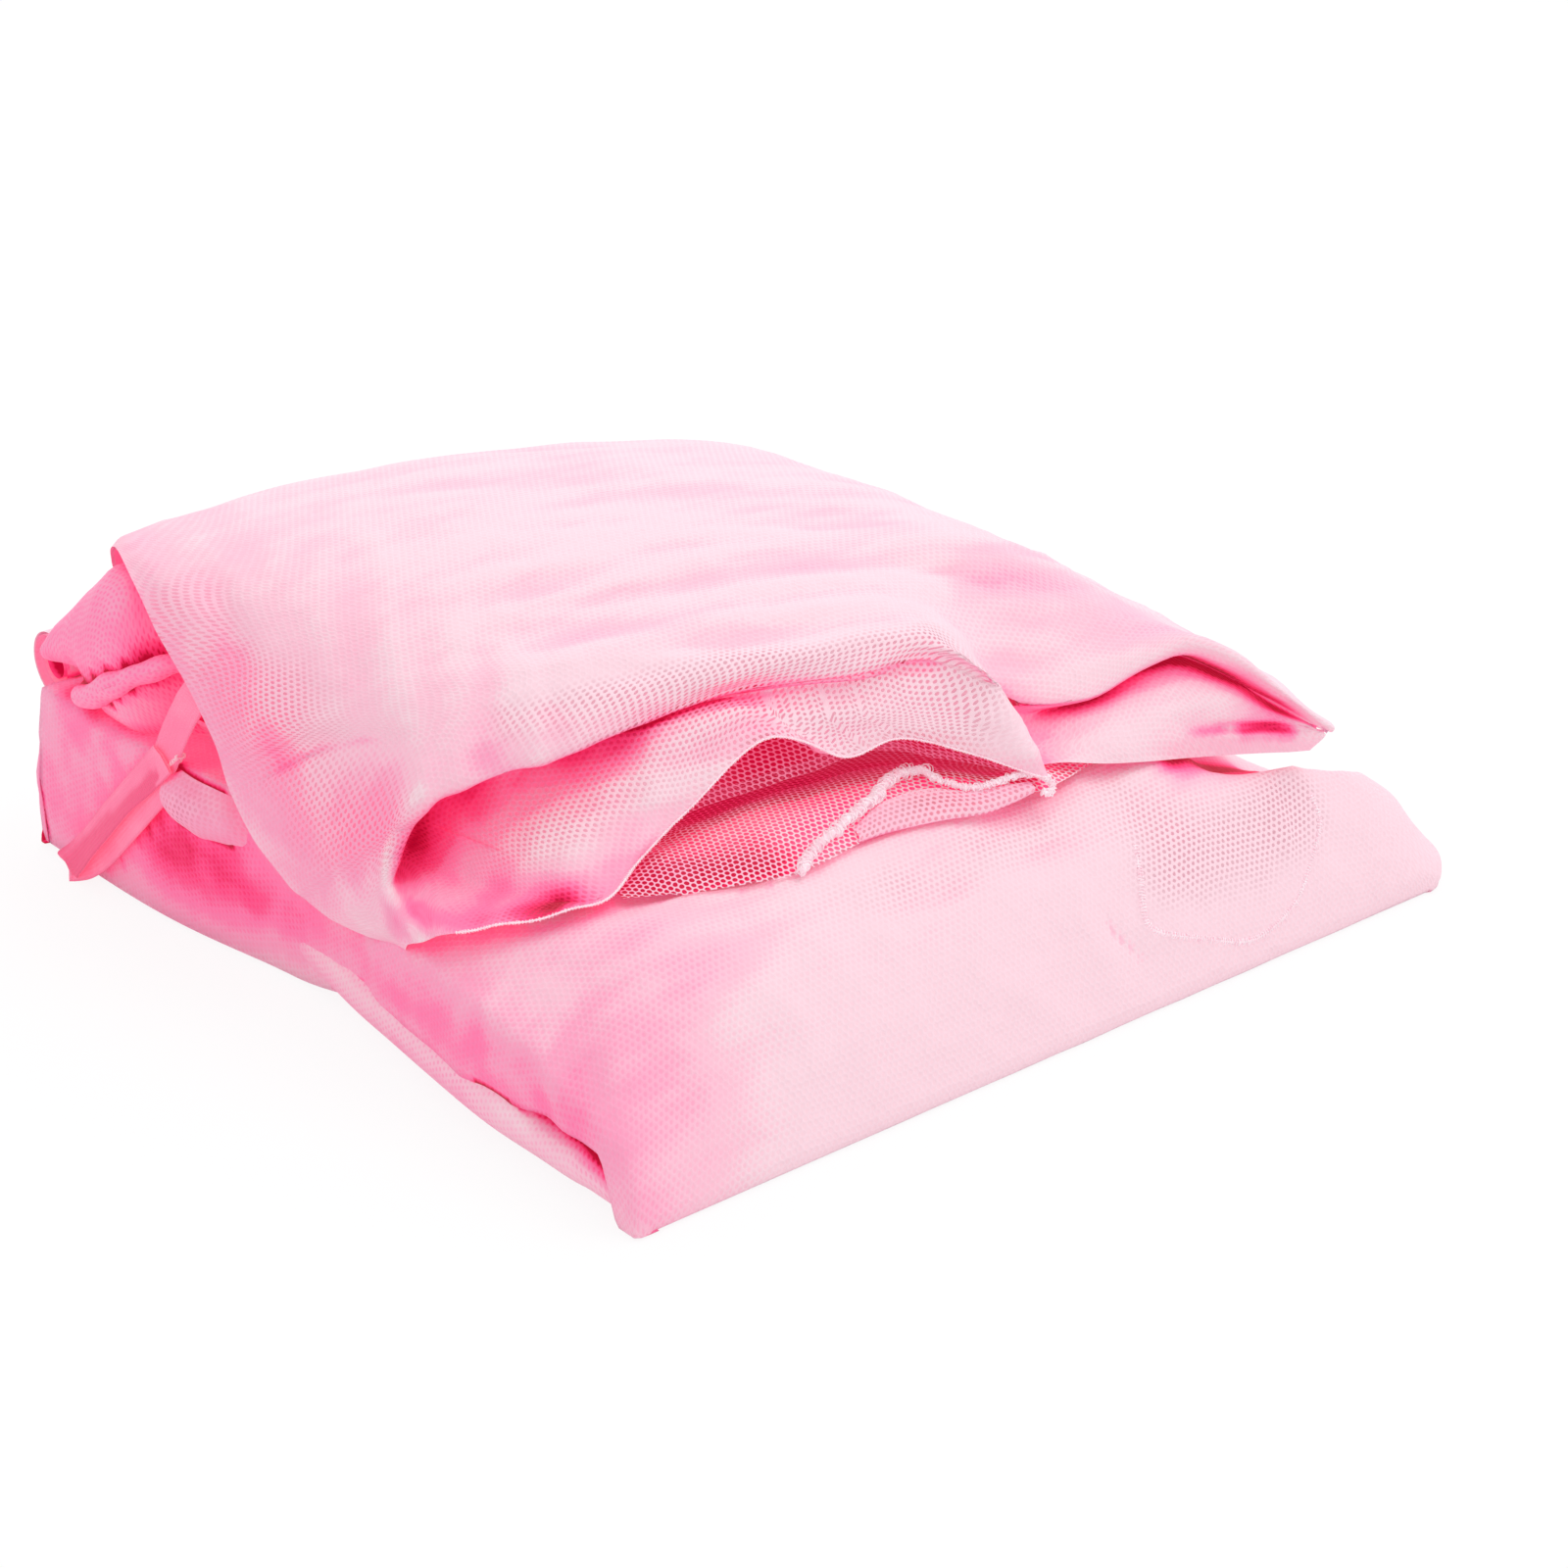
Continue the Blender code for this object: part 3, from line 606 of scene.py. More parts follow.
def lower_fullness(x, y):
    """Share of the lower pack's height at points of its plan, in millimetres."""
    slope = front_slope - 27 * np.exp(-((x + half_width) / 18) ** 2)
    front = ease(np.clip((y + half_depth) / slope, 0, 1) ** 0.8)
    at_corner = smooth_step((-105 - y) / 18)
    right = ease(np.clip((half_width - x) / (right_round + (corner_round - right_round) * at_corner), 0, 1))
    left = ease((x + half_width) / side_round)
    towards_back = smooth_step((y + 30) / 85)
    left_edge = 0.46 + 0.2 * smooth_step((y + 130) / 55) + 0.29 * towards_back
    front_edge = 0.04 + 0.1 * smooth_step((x - 95) / 30)
    return lift(front_edge, front) * lift(0.12 + 0.2 * at_corner, right) * lift(left_edge, left)


def settle(x, y):
    """Draw the pack's left side in at its waist and round off the front right corner."""
    near_left = np.clip((47 - half_width - x) / 47, 0, 1)
    near_right = np.clip((x - half_width + 77) / 77, 0, 1)
    into_corner = np.clip(plan_round - (y + half_depth), 0, plan_round)
    cut = plan_round - np.sqrt(plan_round ** 2 - into_corner ** 2)
    return x + 10 * np.exp(-(y / 45) ** 2) * near_left - cut * near_right, y


# %% Wrap
wrap_columns = 140
top_rows = 124
wrap_left = -half_width + 2
left_curl = 16
right_curl = 9
ridge_height = 13
table_gap = 0.5
pressed_height = 47.2


def side_drop(x, y, z):
    """Columns that carry a row of the wrap on at both sides: down to the left ridge or table, and under."""
    blend = smooth_step((y + 42) / 55)
    ridge = (ridge_height + 3.5 * smooth_step((-88 - y) / 20)) * (1 - smooth_step((-125 - y) / 8))
    down_to = (1 - blend) * ridge + blend * 1.5
    left = []
    for step in range(left_curl, 0, -1):
        turn = step / (left_curl - 5)
        hang = min(turn, 1)
        x_side = x[0] - 3.2 * math.sin(min(hang, 0.8) / 0.8 * math.pi / 2) + max(turn - 1, 0) * 14
        z_side = z[0] + (min(down_to, z[0]) - z[0]) * hang ** 1.3 - max(turn - 1, 0) * 4
        left.append((x_side, y, max(z_side, 0.8)))
    right = []
    for step in range(1, right_curl + 1):
        turn = step / right_curl * 0.8 * math.pi
        x_side = x[-1] + 2.2 * math.sin(turn) - 4 * max(turn - 1.8, 0)
        right.append((x_side, y, 0.9 + (z[-1] - 0.9) * (0.5 + 0.5 * math.cos(turn * 1.25))))
    return left, right


def wrap_grid():
    """The wrap's points: down the back, over the top, round the front fold and back underneath."""
    share = np.linspace(0, 1, wrap_columns)
    x_flat = wrap_left + (half_width - wrap_left) * (share - 0.03 * np.sin(4 * np.pi * share) / 2)
    rows = []

    def add_row(x, y, z):
        left, right = side_drop(x, float(y[0]), z)
        rows.append(left + list(zip(x, y, z)) + right)

    for drop in (44, 38, 30, 21, 13, 7, 3):
        y = pack_back + 3.5 - 3.5 * (1 - drop / 46) ** 6
        x, y_row = settle(x_flat, np.full_like(x_flat, y))
        top = lower_height * lower_fullness(x, np.full_like(x, pack_back))
        add_row(x, y_row + 1.5 * np.sin(drop / 46 * np.pi), np.maximum(top - drop, 1.2))
    for step in range(top_rows):
        towards_front = 1 - (1 - step / (top_rows - 1)) ** 1.2
        y = pack_back + 2 - (pack_back + 2 + half_depth - 1) * towards_front
        x, y_row = settle(x_flat, np.full_like(x_flat, y))
        add_row(x, y_row, lower_height * lower_fullness(x, y_row))
    fold = np.array(rows[-1])
    for turn in (0.35, 0.7, 1.0):
        lowered = fold.copy()
        lowered[:, 1] -= 0.9 * math.sin(turn * math.pi)
        lowered[:, 2] = fold[:, 2] + (table_gap - fold[:, 2]) * smooth_step(turn)
        tucked = np.clip(fold[:, 0], fold[left_curl, 0] + 2, fold[-right_curl - 1, 0] - 2)
        lowered[:, 0] += (tucked - fold[:, 0]) * smooth_step(turn)
        rows.append(lowered)
    for step in range(1, 27):
        y = -half_depth + 1 + (pack_back + half_depth - 1) * step / 26
        x, y_row = settle(x_flat, np.full_like(x_flat, y))
        start, end = x[0] + 8, x[-1] - 6
        x_under = np.linspace(start, end, wrap_columns + left_curl + right_curl)
        rows.append(np.stack([x_under, np.full_like(x_under, y), np.full_like(x_under, table_gap)], axis=1))
    return np.array([np.array(row) for row in rows])[::-1] * MM


wrap = wrap_grid()
wrap_flat = wrap.copy()
wrap = rumple(wrap, 1.7, 60, 3, stretch=(1.0, 0.6, 1.0))
wrap = rumple(wrap, 1.0, 26, 5, stretch=(1.0, 0.5, 1.0), ridged=True)
on_table = np.maximum(1 - smooth_step(wrap_flat[:, :, 2:] / (14 * MM)),
                      near(wrap_flat, (-136, -134, 10), 15)[:, :, None])
wrap = wrap + (wrap_flat - wrap) * on_table
pad_creases = [
    ([(78, -132, 14), (82, -122, 27), (84, -108, 37)], 0.9, 2.2),
    ([(-60, -106, 41), (-20, -112, 40), (30, -108, 42), (60, -100, 45)], -0.8, 9),
    ([(-118, -70, 38), (-100, -95, 40), (-70, -118, 30)], 0.9, 7),
    ([(-40, -128, 20), (-10, -118, 33), (0, -100, 44)], 0.5, 5),
    ([(20, -130, 18), (40, -118, 33), (46, -108, 40)], -0.6, 5),
    ([(100, -96, 44), (112, -108, 33), (118, -122, 20)], 0.7, 5),
    ([(66, -97, 46), (84, -100, 44), (104, -96, 38), (116, -88, 28)], -3.0, 8),
    ([(16.5, -127.6, 25.5), (20.4, -131.5, 19), (27, -135.5, 11.5)], -0.9, 1.6),
    ([(36, -119, 37), (31, -126.3, 27), (28.3, -130.4, 20), (35.8, -133.5, 16)], 0.6, 1.8)]
for stroke, height, width in pad_creases:
    wrap = press(wrap, stroke, height, width)
pad_folds = folds(wrap, 15, 4, (1, 0.12, 0), 6) * smooth_step(wrap[:, :, 2] / (20 * MM))
wrap = offset_by(wrap, 0.5 * pad_folds)
pad_fine = folds(wrap, 7, 14, (1, 0.2, 0), 6) * near(wrap, (30, -112, 40), 75)
wrap = offset_by(wrap, 0.3 * pad_fine)
under_pack = (smooth_step((wrap[:, :, 1] / MM + 98) / 16) * smooth_step((wrap[:, :, 0] / MM + 128) / 14)
              * smooth_step((92 - wrap[:, :, 0] / MM) / 20))
wrap[:, :, 2] = np.minimum(wrap[:, :, 2], (pressed_height + 4 * (1 - under_pack)) * MM)
wrap[:, :, 2] = np.maximum(wrap[:, :, 2], 0.4 * MM)
far_side = lay("far_side_curtain_net", wrap, outer_net, "lower_bundle")
wrap_layer = layer_under(wrap, 1.1)
wrap_layer[:, :, 1] = np.maximum(wrap_layer[:, :, 1], (0.8 - half_depth) * MM)
wrap_layer[:, :, 2] = np.maximum(wrap_layer[:, :, 2], 0.3 * MM)
lay("far_side_curtain_layers", wrap_layer, solid_net, "lower_bundle", under=far_side)
# Painted shade and light on the folds: valleys deeper pink, ridges paler.
far_side.painted["depth"] -= 0.09 * pad_folds + 0.05 * pad_fine
# Painted light: the front slope of the pad is made paler.
lit_front_face = smooth_step((-0.112 - wrap[:, :, 1]) / 0.014) * smooth_step((wrap[:, :, 0] + 0.13) / 0.05)
far_side.painted["depth"] -= 0.1 * lit_front_face
# Painted shade: deeper pink on the left side and end and on the pad's left part, which lie away from the
# lamps, in the gap under the roof's hanging roll, and as contact shadows under the upper pack's right end.
far_side.paint(
    "depth",
    ([(-137, 60, 20), (-136, 0, 20), (-137, -60, 20), (-134, -110, 18)], 0.42, 15),
    ([(-128, 112, 46), (-130, 98, 46)], 0.3, 9),
    ([(-137, 112, 22), (-137, 80, 30), (-137, 50, 30)], 0.42, 34),
    ([(-118, -60, 44), (-108, -95, 39), (-118, -124, 16)], 0.22, 26),
    ([(-137, -128, 16), (-136, -134, 8), (-134, -139, 2)], 0.16, 9),
    ([(-30, -118, 36), (-60, -122, 30)], 0.08, 20),
    ([(62, -101, 45), (80, -102, 44), (98, -98, 40)], 0.5, 5),
    ([(60, -104, 43), (76, -104, 42), (100, -104, 32)], 0.5, 5))
hem_band = [(36, -119, 37), (31, -126.3, 27), (28.3, -130.4, 20), (35.8, -133.5, 16), (47.8, -135.7, 11.5),
            (61, -136.8, 8), (76.9, -135.4, 11.5), (85.7, -131.9, 18.5), (93.7, -127.3, 25.5),
            (95.6, -122, 31)]
# The bottom hem shows through the net as a paler band, which is its own colour; the short line along the
# crease at the left is painted shade.
far_side.paint(
    "depth",
    (hem_band, -0.2, 2.4),
    ([(44, -124, 32), (62, -128, 26), (84, -124, 30)], -0.1, 15),
    ([(16.5, -127.6, 25.5), (20.4, -131.5, 19), (27, -135.5, 11.5)], 0.3, 1.2, 0.3))
far_side.paint(
    "airy",
    ([(44, -124, 32), (62, -127, 28), (84, -124, 30)], 0.62, 15),
    ([(-60, -108, 42), (-10, -108, 42), (40, -104, 44)], 0.34, 12))

# %% [markdown]
# ## Rolls and pleats inside the packs
#
# The curtain at the foot was rolled up first, and its roll is what rounds the bundle's left end. The head
# curtain and the roof panel lie in pleats. A spiral section, swept from front to back, makes a roll, and a
# zigzag section with round turns makes pleats. Both get uneven edges, as folding by hand gives.

# %% Rolled foot curtain
roll_turns = 2.3
roll_stations = [
    (116, -121, 19, 10, 17), (60, -121, 18, 10, 16), (10, -120, 11, 9.5, 10), (-25, -124, 10, 10.5, 9),
    (-60, -127, 9.8, 11.5, 8.8), (-85, -129.5, 9.5, 11.2, 8.6), (-104, -129.5, 9, 11.2, 8),
    (-114, -130, 9.2, 10.5, 7.8), (-120, -130.5, 9.2, 9.4, 7), (-126, -130.5, 8, 8.2, 6.2),
    (-132, -130, 5.5, 7, 4.4), (-136.5, -129.5, 3.2, 5.5, 2.4)]


def roll_grid(stations, turns, around, along, seed):
    """Spiral roll through stations of y, middle x, middle z, half width and half height."""
    spine = through(stations, along)
    rows = []
    for y, x_mid, z_mid, half_x, half_z in spine:
        row = []
        for step in range(around):
            turn = step / (around - 1) * turns * 2 * math.pi
            size = 1 - 0.26 * turn / (2 * math.pi) + 0.05 * noise.noise(Vector((turn, y / 40, seed)))
            row.append((x_mid - half_x * size * math.cos(turn - 1.9), y,
                        z_mid + half_z * size * math.sin(turn - 1.9)))
        rows.append(row)
    return np.array(rows)[::-1] * MM


foot_roll = roll_grid(roll_stations, roll_turns, 110, 90, 2)
foot_roll = rumple(foot_roll, 1.2, 22, 8, stretch=(1, 0.5, 1))
foot_roll[:, :, 2] = np.maximum(foot_roll[:, :, 2], 0.7 * MM)
foot = lay("foot_curtain_roll", foot_roll, rolled_net, "lower_bundle")
# Painted shade on the roll: deeper low on its left side and as a shadow above its nose, under the wrap's
# edge; paler over all and along its top, where less shade is painted than was measured.
foot.painted["depth"] -= 0.06
foot.paint(
    "depth",
    ([(-136, 20, 12), (-134, -30, 10), (-136, -70, 9)], 0.14, 16),
    ([(-134, 0, 17), (-136, -30, 17), (-137, -70, 17), (-137, -96, 18)], -0.22, 5),
    ([(-134, -122, 15), (-133, -128, 12), (-132, -134, 8)], 0.55, 4.5))


# %% Pleated section
def pleat_section(levels, run_points, turn_points):
    """Zigzag of shares across and levels up, with round turns, which starts at the left."""
    section = []
    for level in range(levels):
        shares = np.linspace(0, 1, run_points)
        if level % 2:
            shares = shares[::-1]
        section += [(share, level, 0.0) for share in shares]
        if level < levels - 1:
            side = 1 if shares[-1] > 0.5 else -1
            for step in range(1, turn_points + 1):
                angle = math.pi * step / (turn_points + 1)
                section.append((shares[-1], level + 0.5 - 0.5 * math.cos(angle), side * math.sin(angle)))
    return section


def pleat_grid(section, levels, y_rows, place):
    """Grid that places a pleated section at each y, by a function of share, level share, side and y."""
    return np.array([[place(share, level / (levels - 1), side, y) for share, level, side in section]
                     for y in y_rows]) * MM


# %% Pleated head curtain
head_levels = 6


def head_place(share, level, side, y):
    """Point of the head curtain's pleats inside the lower pack."""
    uneven = 4 * noise.noise(Vector((level * 9, y / 60, 4)))
    x = -104 + 218 * share + side * 3.4 + uneven
    top = lower_height * float(lower_fullness(np.array(x), np.array(y))) - 5.5
    return x, y, 2.6 + (top - 2.6) * level + 0.6 * noise.noise(Vector((x / 30, y / 30, level * 5)))


head_grid = pleat_grid(pleat_section(head_levels, 26, 5), head_levels, np.linspace(114, -112, 46), head_place)
head = lay("head_curtain_pleats", head_grid, solid_net, "lower_bundle")

# %% [markdown]
# ## The top flap
#
# The left door curtain lies over everything. Its rails run from left to right: from the back edge over the
# crown and down the left end as an overhang, to the ridge. The ridge's left part folds back on itself in a
# cone, and past the cone the cloth swings up in an arch, the lip of the mouth. At the right a small notch
# parts the arch from a wing that ends in a point.

# %% Flap rails
tail = [(-104, 120, 57), (-101, 122, 57), (-94, 124, 57), (-80, 125, 57), (-60, 125, 57), (-38, 125, 57),
        (-10, 124, 57), (16, 122, 57), (52, 118, 56), (84, 106, 51.5)]
back_roll = [(-112, 116, 71), (-109, 118, 73), (-100, 120, 75), (-82, 121, 75.5), (-60, 121, 75),
             (-38, 121, 73.5), (-10, 119, 70.5), (16, 116, 68), (56, 108, 62), (96, 90, 52)]
back = [(-120, 106, 83), (-115, 109, 86), (-104, 111, 87.5), (-82, 112, 87.5), (-60, 111, 87),
        (-38, 110, 85.5), (-10, 107, 83), (16, 103, 79.5), (58, 92, 70), (104, 72, 54)]
corner_rail = [(-127, 90, 93), (-121, 93, 94.5), (-106, 95, 94.5), (-82, 96, 95), (-60, 95, 95),
               (-38, 93, 94), (-10, 90, 91.5), (16, 86, 88), (58, 73, 78), (105, 50, 56)]
high = [(-131, 75, 89), (-124, 78, 94), (-106, 82, 97), (-82, 82, 98), (-60, 80, 98.5), (-38, 79, 98.5),
        (-10, 75, 97), (16, 70, 94), (56, 56, 86), (105, 26, 57)]
crown = [(-132.5, 62, 80), (-125, 54, 89), (-106, 48, 96), (-82, 45, 99.5), (-60, 43, 101), (-38, 41, 101),
         (-10, 37, 100.5), (15, 31, 98.5), (55, 16, 90), (105, -18, 59)]
shoulder = [(-133.5, 48, 71), (-126, 36, 80), (-106, 12, 90), (-82, 6, 96), (-60, 3, 99), (-38, 0, 100),
            (-10, -4, 100), (14, -9, 98.5), (54, -24, 91), (104, -62, 60)]
brow = [(-134, 36, 60), (-127, 14, 70), (-105, -8, 85), (-82, -18, 91), (-60, -22, 94), (-38, -26, 96),
        (-10, -34, 97), (14, -44, 95), (52, -62, 88), (102, -100, 57)]
ridge = [(-134, 27, 47), (-132, 18, 55), (-124, 2, 66), (-112, -24, 76), (-103, -30, 82), (-92, -35, 86),
         (-80, -43, 87), (-70, -49, 88), (-60, -54, 89), (-50, -58, 89.5), (-38, -63, 90), (-25, -67, 90.5),
         (-10, -71, 91), (2, -77, 89), (9, -88, 82), (22, -82, 70), (44, -89, 67.5), (75, -97, 74.5),
         (99, -124, 52)]
crease_line = [(-133, 8, 32), (-132, -2, 41), (-126, -18, 54), (-119, -34, 65.5), (-110, -41.5, 68.5),
               (-101, -48, 72), (-90, -54, 75.5), (-79, -56.5, 78.5), (-69, -58, 80), (-59, -60, 81.5),
               (-46, -63, 82.5), (-32, -69, 83), (-16, -76, 83), (0, -81, 83.5), (12, -92, 76), (23, -84, 65),
               (44, -91, 63.5), (75, -98, 70.5), (99, -124, 51)]
under_crease = [(-133, -2, 30), (-132, -10, 36), (-128, -22, 46), (-122.5, -31, 58), (-113, -23, 62),
                (-104, -30, 65), (-92, -41, 70.5), (-80, -48, 75), (-70, -53, 77.5), (-60, -58, 79),
                (-47, -62, 80), (-33, -67, 80), (-17, -73, 80), (0, -81, 80.5), (13, -95, 72), (24, -86, 61),
                (46, -84, 62), (74, -89, 67.5), (98, -121, 51)]
belly = [(-132, -14, 29), (-132.5, -20, 34), (-131, -27, 41), (-126, -30, 50), (-115, -20, 52),
         (-108, -27, 55), (-99, -40, 60), (-88, -52, 65), (-77, -60, 69), (-66, -65, 73.5),
         (-49, -68.5, 79.5), (-35, -73, 74.5), (-19, -79, 74), (-2, -86, 74), (14, -99, 66), (25, -89, 57),
         (46, -95, 59), (72, -101, 62), (98, -121, 50)]
valley = [(-131, -29, 30), (-132.5, -33, 34), (-133, -37, 39), (-131, -35, 43.5), (-119, -25, 44),
          (-114, -40, 45), (-110, -60, 47), (-103, -75, 50), (-88, -74, 56.5), (-71, -71, 66),
          (-48, -73, 77.5), (-31, -78, 68), (-15, -83, 70), (3, -93, 66), (16, -102, 60), (24, -93, 54),
          (46, -101, 54), (73, -107, 52), (100, -122, 48.5)]
lip = [(-131, -42, 33), (-133, -46, 35), (-134, -49, 37), (-133, -53, 38.5), (-129, -60, 42),
       (-121, -71, 46), (-110, -80, 48.5), (-99, -81, 50), (-86, -75, 54.5), (-70, -74, 62),
       (-47, -76, 75.5), (-28, -80, 64.5), (-13, -84, 67), (3, -93, 61.5), (17, -104, 54.5),
       (23, -97, 52.5), (46, -103, 49.5), (72, -107, 45), (98, -119, 43.5)]
flap_rails = [tail, back_roll, back, corner_rail, high, crown, shoulder, brow, ridge, crease_line,
              under_crease, belly, valley, lip]

# %% Flap
flap_side = 184
flap_smooth = loft(flap_rails, flap_side, flap_side)[::-1]
flap = rumple(flap_smooth, 1.8, 70, 11, stretch=(1.0, 0.7, 1.0))
flap = rumple(flap, 0.8, 30, 12, stretch=(0.5, 1.0, 1.0), ridged=True)
flap_creases = [
    ([(-131, 19, 53), (-126, 10, 60), (-118, -5, 70)], 1.0, 1.7),
    ([(-46, -64, 81.5), (-30, -70, 82), (-12, -77, 82.5), (2, -82, 82)], 1.3, 1.5),
    ([(-117, 66, 94), (-121, 44, 84), (-125, 26, 71)], 0.8, 5.5),
    ([(-127, 24, 66), (-126, 12, 65), (-130, 14, 57)], 0.7, 3.5),
    ([(70, -103, 52.5), (80, -107.5, 51.5), (90, -113, 50.5), (97, -119, 49.5)], 1.1, 1.5),
    ([(8, -44, 96), (30, -56, 92), (44, -70, 86)], 0.6, 2.2),
    ([(-10, -50, 95), (14, -62, 92), (24, -76, 80)], 0.6, 2.4),
    ([(30, -30, 96), (48, -48, 89), (56, -62, 84)], 0.5, 2.4)]
for stroke, depth, width in flap_creases:
    flap = crease(flap, stroke, depth, width)
flap_swells = [
    ([(-112, -24, 76), (-119, -34, 65.5), (-122.5, -31, 58), (-126, -30, 50), (-131, -37, 43.5),
      (-133, -53, 38.5)], 1.5, 2.4),
    ([(-100, -24, 88), (-60, -40, 92), (-20, -54, 95)], 1.6, 9),
    ([(10, -30, 98), (50, -46, 89), (80, -74, 76)], 1.4, 12),
    ([(-130, -4, 42), (-128, 8, 52), (-126, 18, 62)], 1.6, 8),
    ([(-74, -54, 73), (-60, -62, 72), (-44, -66, 72)], 1.2, 7)]
for stroke, height, width in flap_swells:
    flap = press(flap, stroke, height, width)
to_the_right = smooth_step((flap[:, :, 0] / MM + 110) / 60)
flap_folds = (folds(flap, 16, 1, (1, -0.4, 0), 5) * to_the_right
              + folds(flap, 17, 2, (-0.5, -0.7, -0.5), 5) * (1 - to_the_right))
flap_folds *= 0.45 + 1.1 * near(flap, (-60, -60, 84), 70) + 0.9 * near(flap, (40, -60, 88), 50)
flap = offset_by(flap, 1.1 * flap_folds)
fine_places = near(flap, (50, -50, 88), 55) + 0.8 * near(flap, (-60, -50, 86), 60)
flap_fine = folds(flap, 8, 5, (1, -0.35, 0), 6) * fine_places
flap = offset_by(flap, 0.45 * flap_fine)
door_left = lay("door_curtain_left_net", flap, outer_net, "top_flap")
lip_free_rows = 6
lay("door_curtain_left_layers", layer_under(flap, 1.2)[lip_free_rows:], solid_net, "top_flap",
    under=door_left, skip=lip_free_rows)
# Painted shade and light on the flap's folds, valleys deeper pink and ridges paler, and painted shade that
# deepens the pink towards the left end, away from the lamps.
door_left.painted["depth"] -= 0.13 * flap_folds + 0.07 * flap_fine
door_left.painted["depth"] += 0.035 + 0.06 * (1 - smooth_step((flap[:, :, 0] / MM + 132) / 75))
# Painted shade and highlights: dark lines in the creases, crimson shadows in the wing's slits, in the notch
# and under the wing, deeper pink in the cone, under the lip and on the left end; paler lines along the pleat
# edge, the ridge and a fold on the crown.
door_left.paint(
    "depth",
    ([(-119, -34, 65.5), (-122.5, -31, 58), (-126, -30, 50), (-131, -37, 43.5),
      (-133, -53, 38.5)], -0.3, 1.8),
    ([(-131, 18, 51), (-126, 9, 58.5), (-118, -6, 68.5), (-114, -16, 72)], 0.12, 1.0, 0.3),
    ([(-108, -28, 78), (-92, -35, 86), (-70, -49, 88), (-38, -63, 90), (-10, -71, 91),
      (2, -77, 89)], -0.12, 4, 0.3),
    ([(-117, 68, 94), (-121, 46, 85), (-126, 26, 70)], 0.07, 6, 0.3),
    ([(-126, 24, 66), (-127, 12, 63), (-129, 6, 56)], 0.14, 4, 0.3),
    ([(-30, -40, 98), (10, -52, 95), (40, -52, 91)], -0.1, 3, 0.3),
    ([(66, -101, 51.8), (73, -105, 51), (80, -107.5, 50.6)], 0.4, 1.6, 0.3),
    ([(79, -107.5, 50.4), (88, -112, 49.6), (96, -118, 48.6)], 0.5, 2.2, 0.2),
    ([(76, -104, 54), (88, -112, 52.5), (97, -119, 50.5)], 0.15, 4, 0.3),
    ([(-130, 80, 92), (-133, 50, 74), (-134, 28, 52), (-132, -8, 36)], 0.14, 14),
    ([(-126, 30, 72), (-128, 10, 58), (-128, -14, 46)], 0.12, 16),
    ([(40, -60, 89), (60, -60, 86), (70, -80, 80)], 0.12, 16),
    ([(-117, -22, 56), (-114, -22, 50), (-116, -34, 44.5)], 0.2, 15),
    ([(-112, -56, 46.5), (-108, -72, 49)], 0.4, 7),
    ([(-116, -76, 47), (-99, -80, 50), (-86, -75, 54.5)], 0.2, 9),
    ([(-131, -45, 42.5), (-127, -55, 43.5), (-119, -67, 46.5), (-110, -74, 48)], 0.42, 6),
    ([(-104, -36, 67), (-88, -50, 74), (-70, -56, 78)], 0.26, 7),
    ([(20, -86, 68), (22, -90, 60), (20, -98, 56)], 0.35, 6),
    ([(64, -86, 66), (80, -98, 62), (92, -112, 54)], 0.3, 5),
    ([(-44, -64, 81.5), (-16, -75, 82), (0, -81, 82)], 0.16, 2.2))
door_left.paint(
    "airy",
    ([(-128, 60, 86), (-128, 36, 74)], 0.42, 20),
    ([(-124, 10, 66), (-128, -6, 50), (-126, -24, 52)], 0.5, 16),
    ([(-96, -40, 79), (-60, -56, 84), (-20, -72, 87), (0, -80, 86)], 0.5, 8),
    ([(-108, -50, 58), (-80, -58, 68), (-40, -72, 72), (0, -88, 72)], 0.6, 14),
    ([(-122, -66, 45), (-108, -78, 48)], 0.5, 8),
    ([(-132, -48, 38), (-128, -58, 42)], -0.8, 9))

# %% [markdown]
# ## The mouth
#
# Under the arch lie two plies of the right door curtain. The lower one swells up to a horizon line and
# slopes to the front, and its hem lies slantwise across it. The upper one hangs behind with a net edge. Both
# are single net over a deep crimson layer, which is painted shade, so their holes look dark.

# %% Right door curtain
door_right_rails = [
    [(-112, 104, 49.8), (-70, 106, 49.8), (-30, 106, 49.8), (20, 105, 49.8), (88, 96, 49.8)],
    [(-112, 40, 49.8), (-70, 40, 49.8), (-30, 40, 49.8), (30, 36, 49.8), (90, 30, 49.8)],
    [(-104, -20, 49.8), (-70, -24, 49.8), (-30, -30, 49.8), (30, -36, 49.8), (92, -50, 49.8)],
    [(-97, -60, 49.8), (-78, -58, 50), (-52, -58, 50.5), (-30, -60, 50.5), (-4, -64, 50.5), (14, -74, 50.2),
     (48, -70, 49.8), (92, -78, 49.6)],
    [(-96, -70, 50.2), (-78, -68, 51.8), (-53, -67, 53.2), (-30, -68, 53.6), (-5, -73, 53.6), (14, -86, 52.4),
     (49, -78, 49.9), (92, -84, 49.4)],
    [(-96, -75, 50.4), (-78, -74, 52.6), (-53, -73, 54.2), (-30, -75, 54.7), (-4, -80, 54.7), (14, -93, 53.3),
     (50, -84, 50), (92, -90, 49.3)],
    [(-96, -79, 50.3), (-79, -83, 51.8), (-54, -85, 53.2), (-30, -84, 54), (-3, -87, 54), (15, -98, 52.9),
     (50, -90, 49.9), (92, -97, 49.2)],
    [(-97, -82, 49.4), (-80, -91, 49.4), (-56, -97.5, 49.2), (-30, -95, 49.8), (-3, -96, 50.8),
     (16, -103, 50.6), (50, -98, 49.5), (92, -103, 49)]]
mouth_floor = loft(door_right_rails, 110, 100)[::-1]
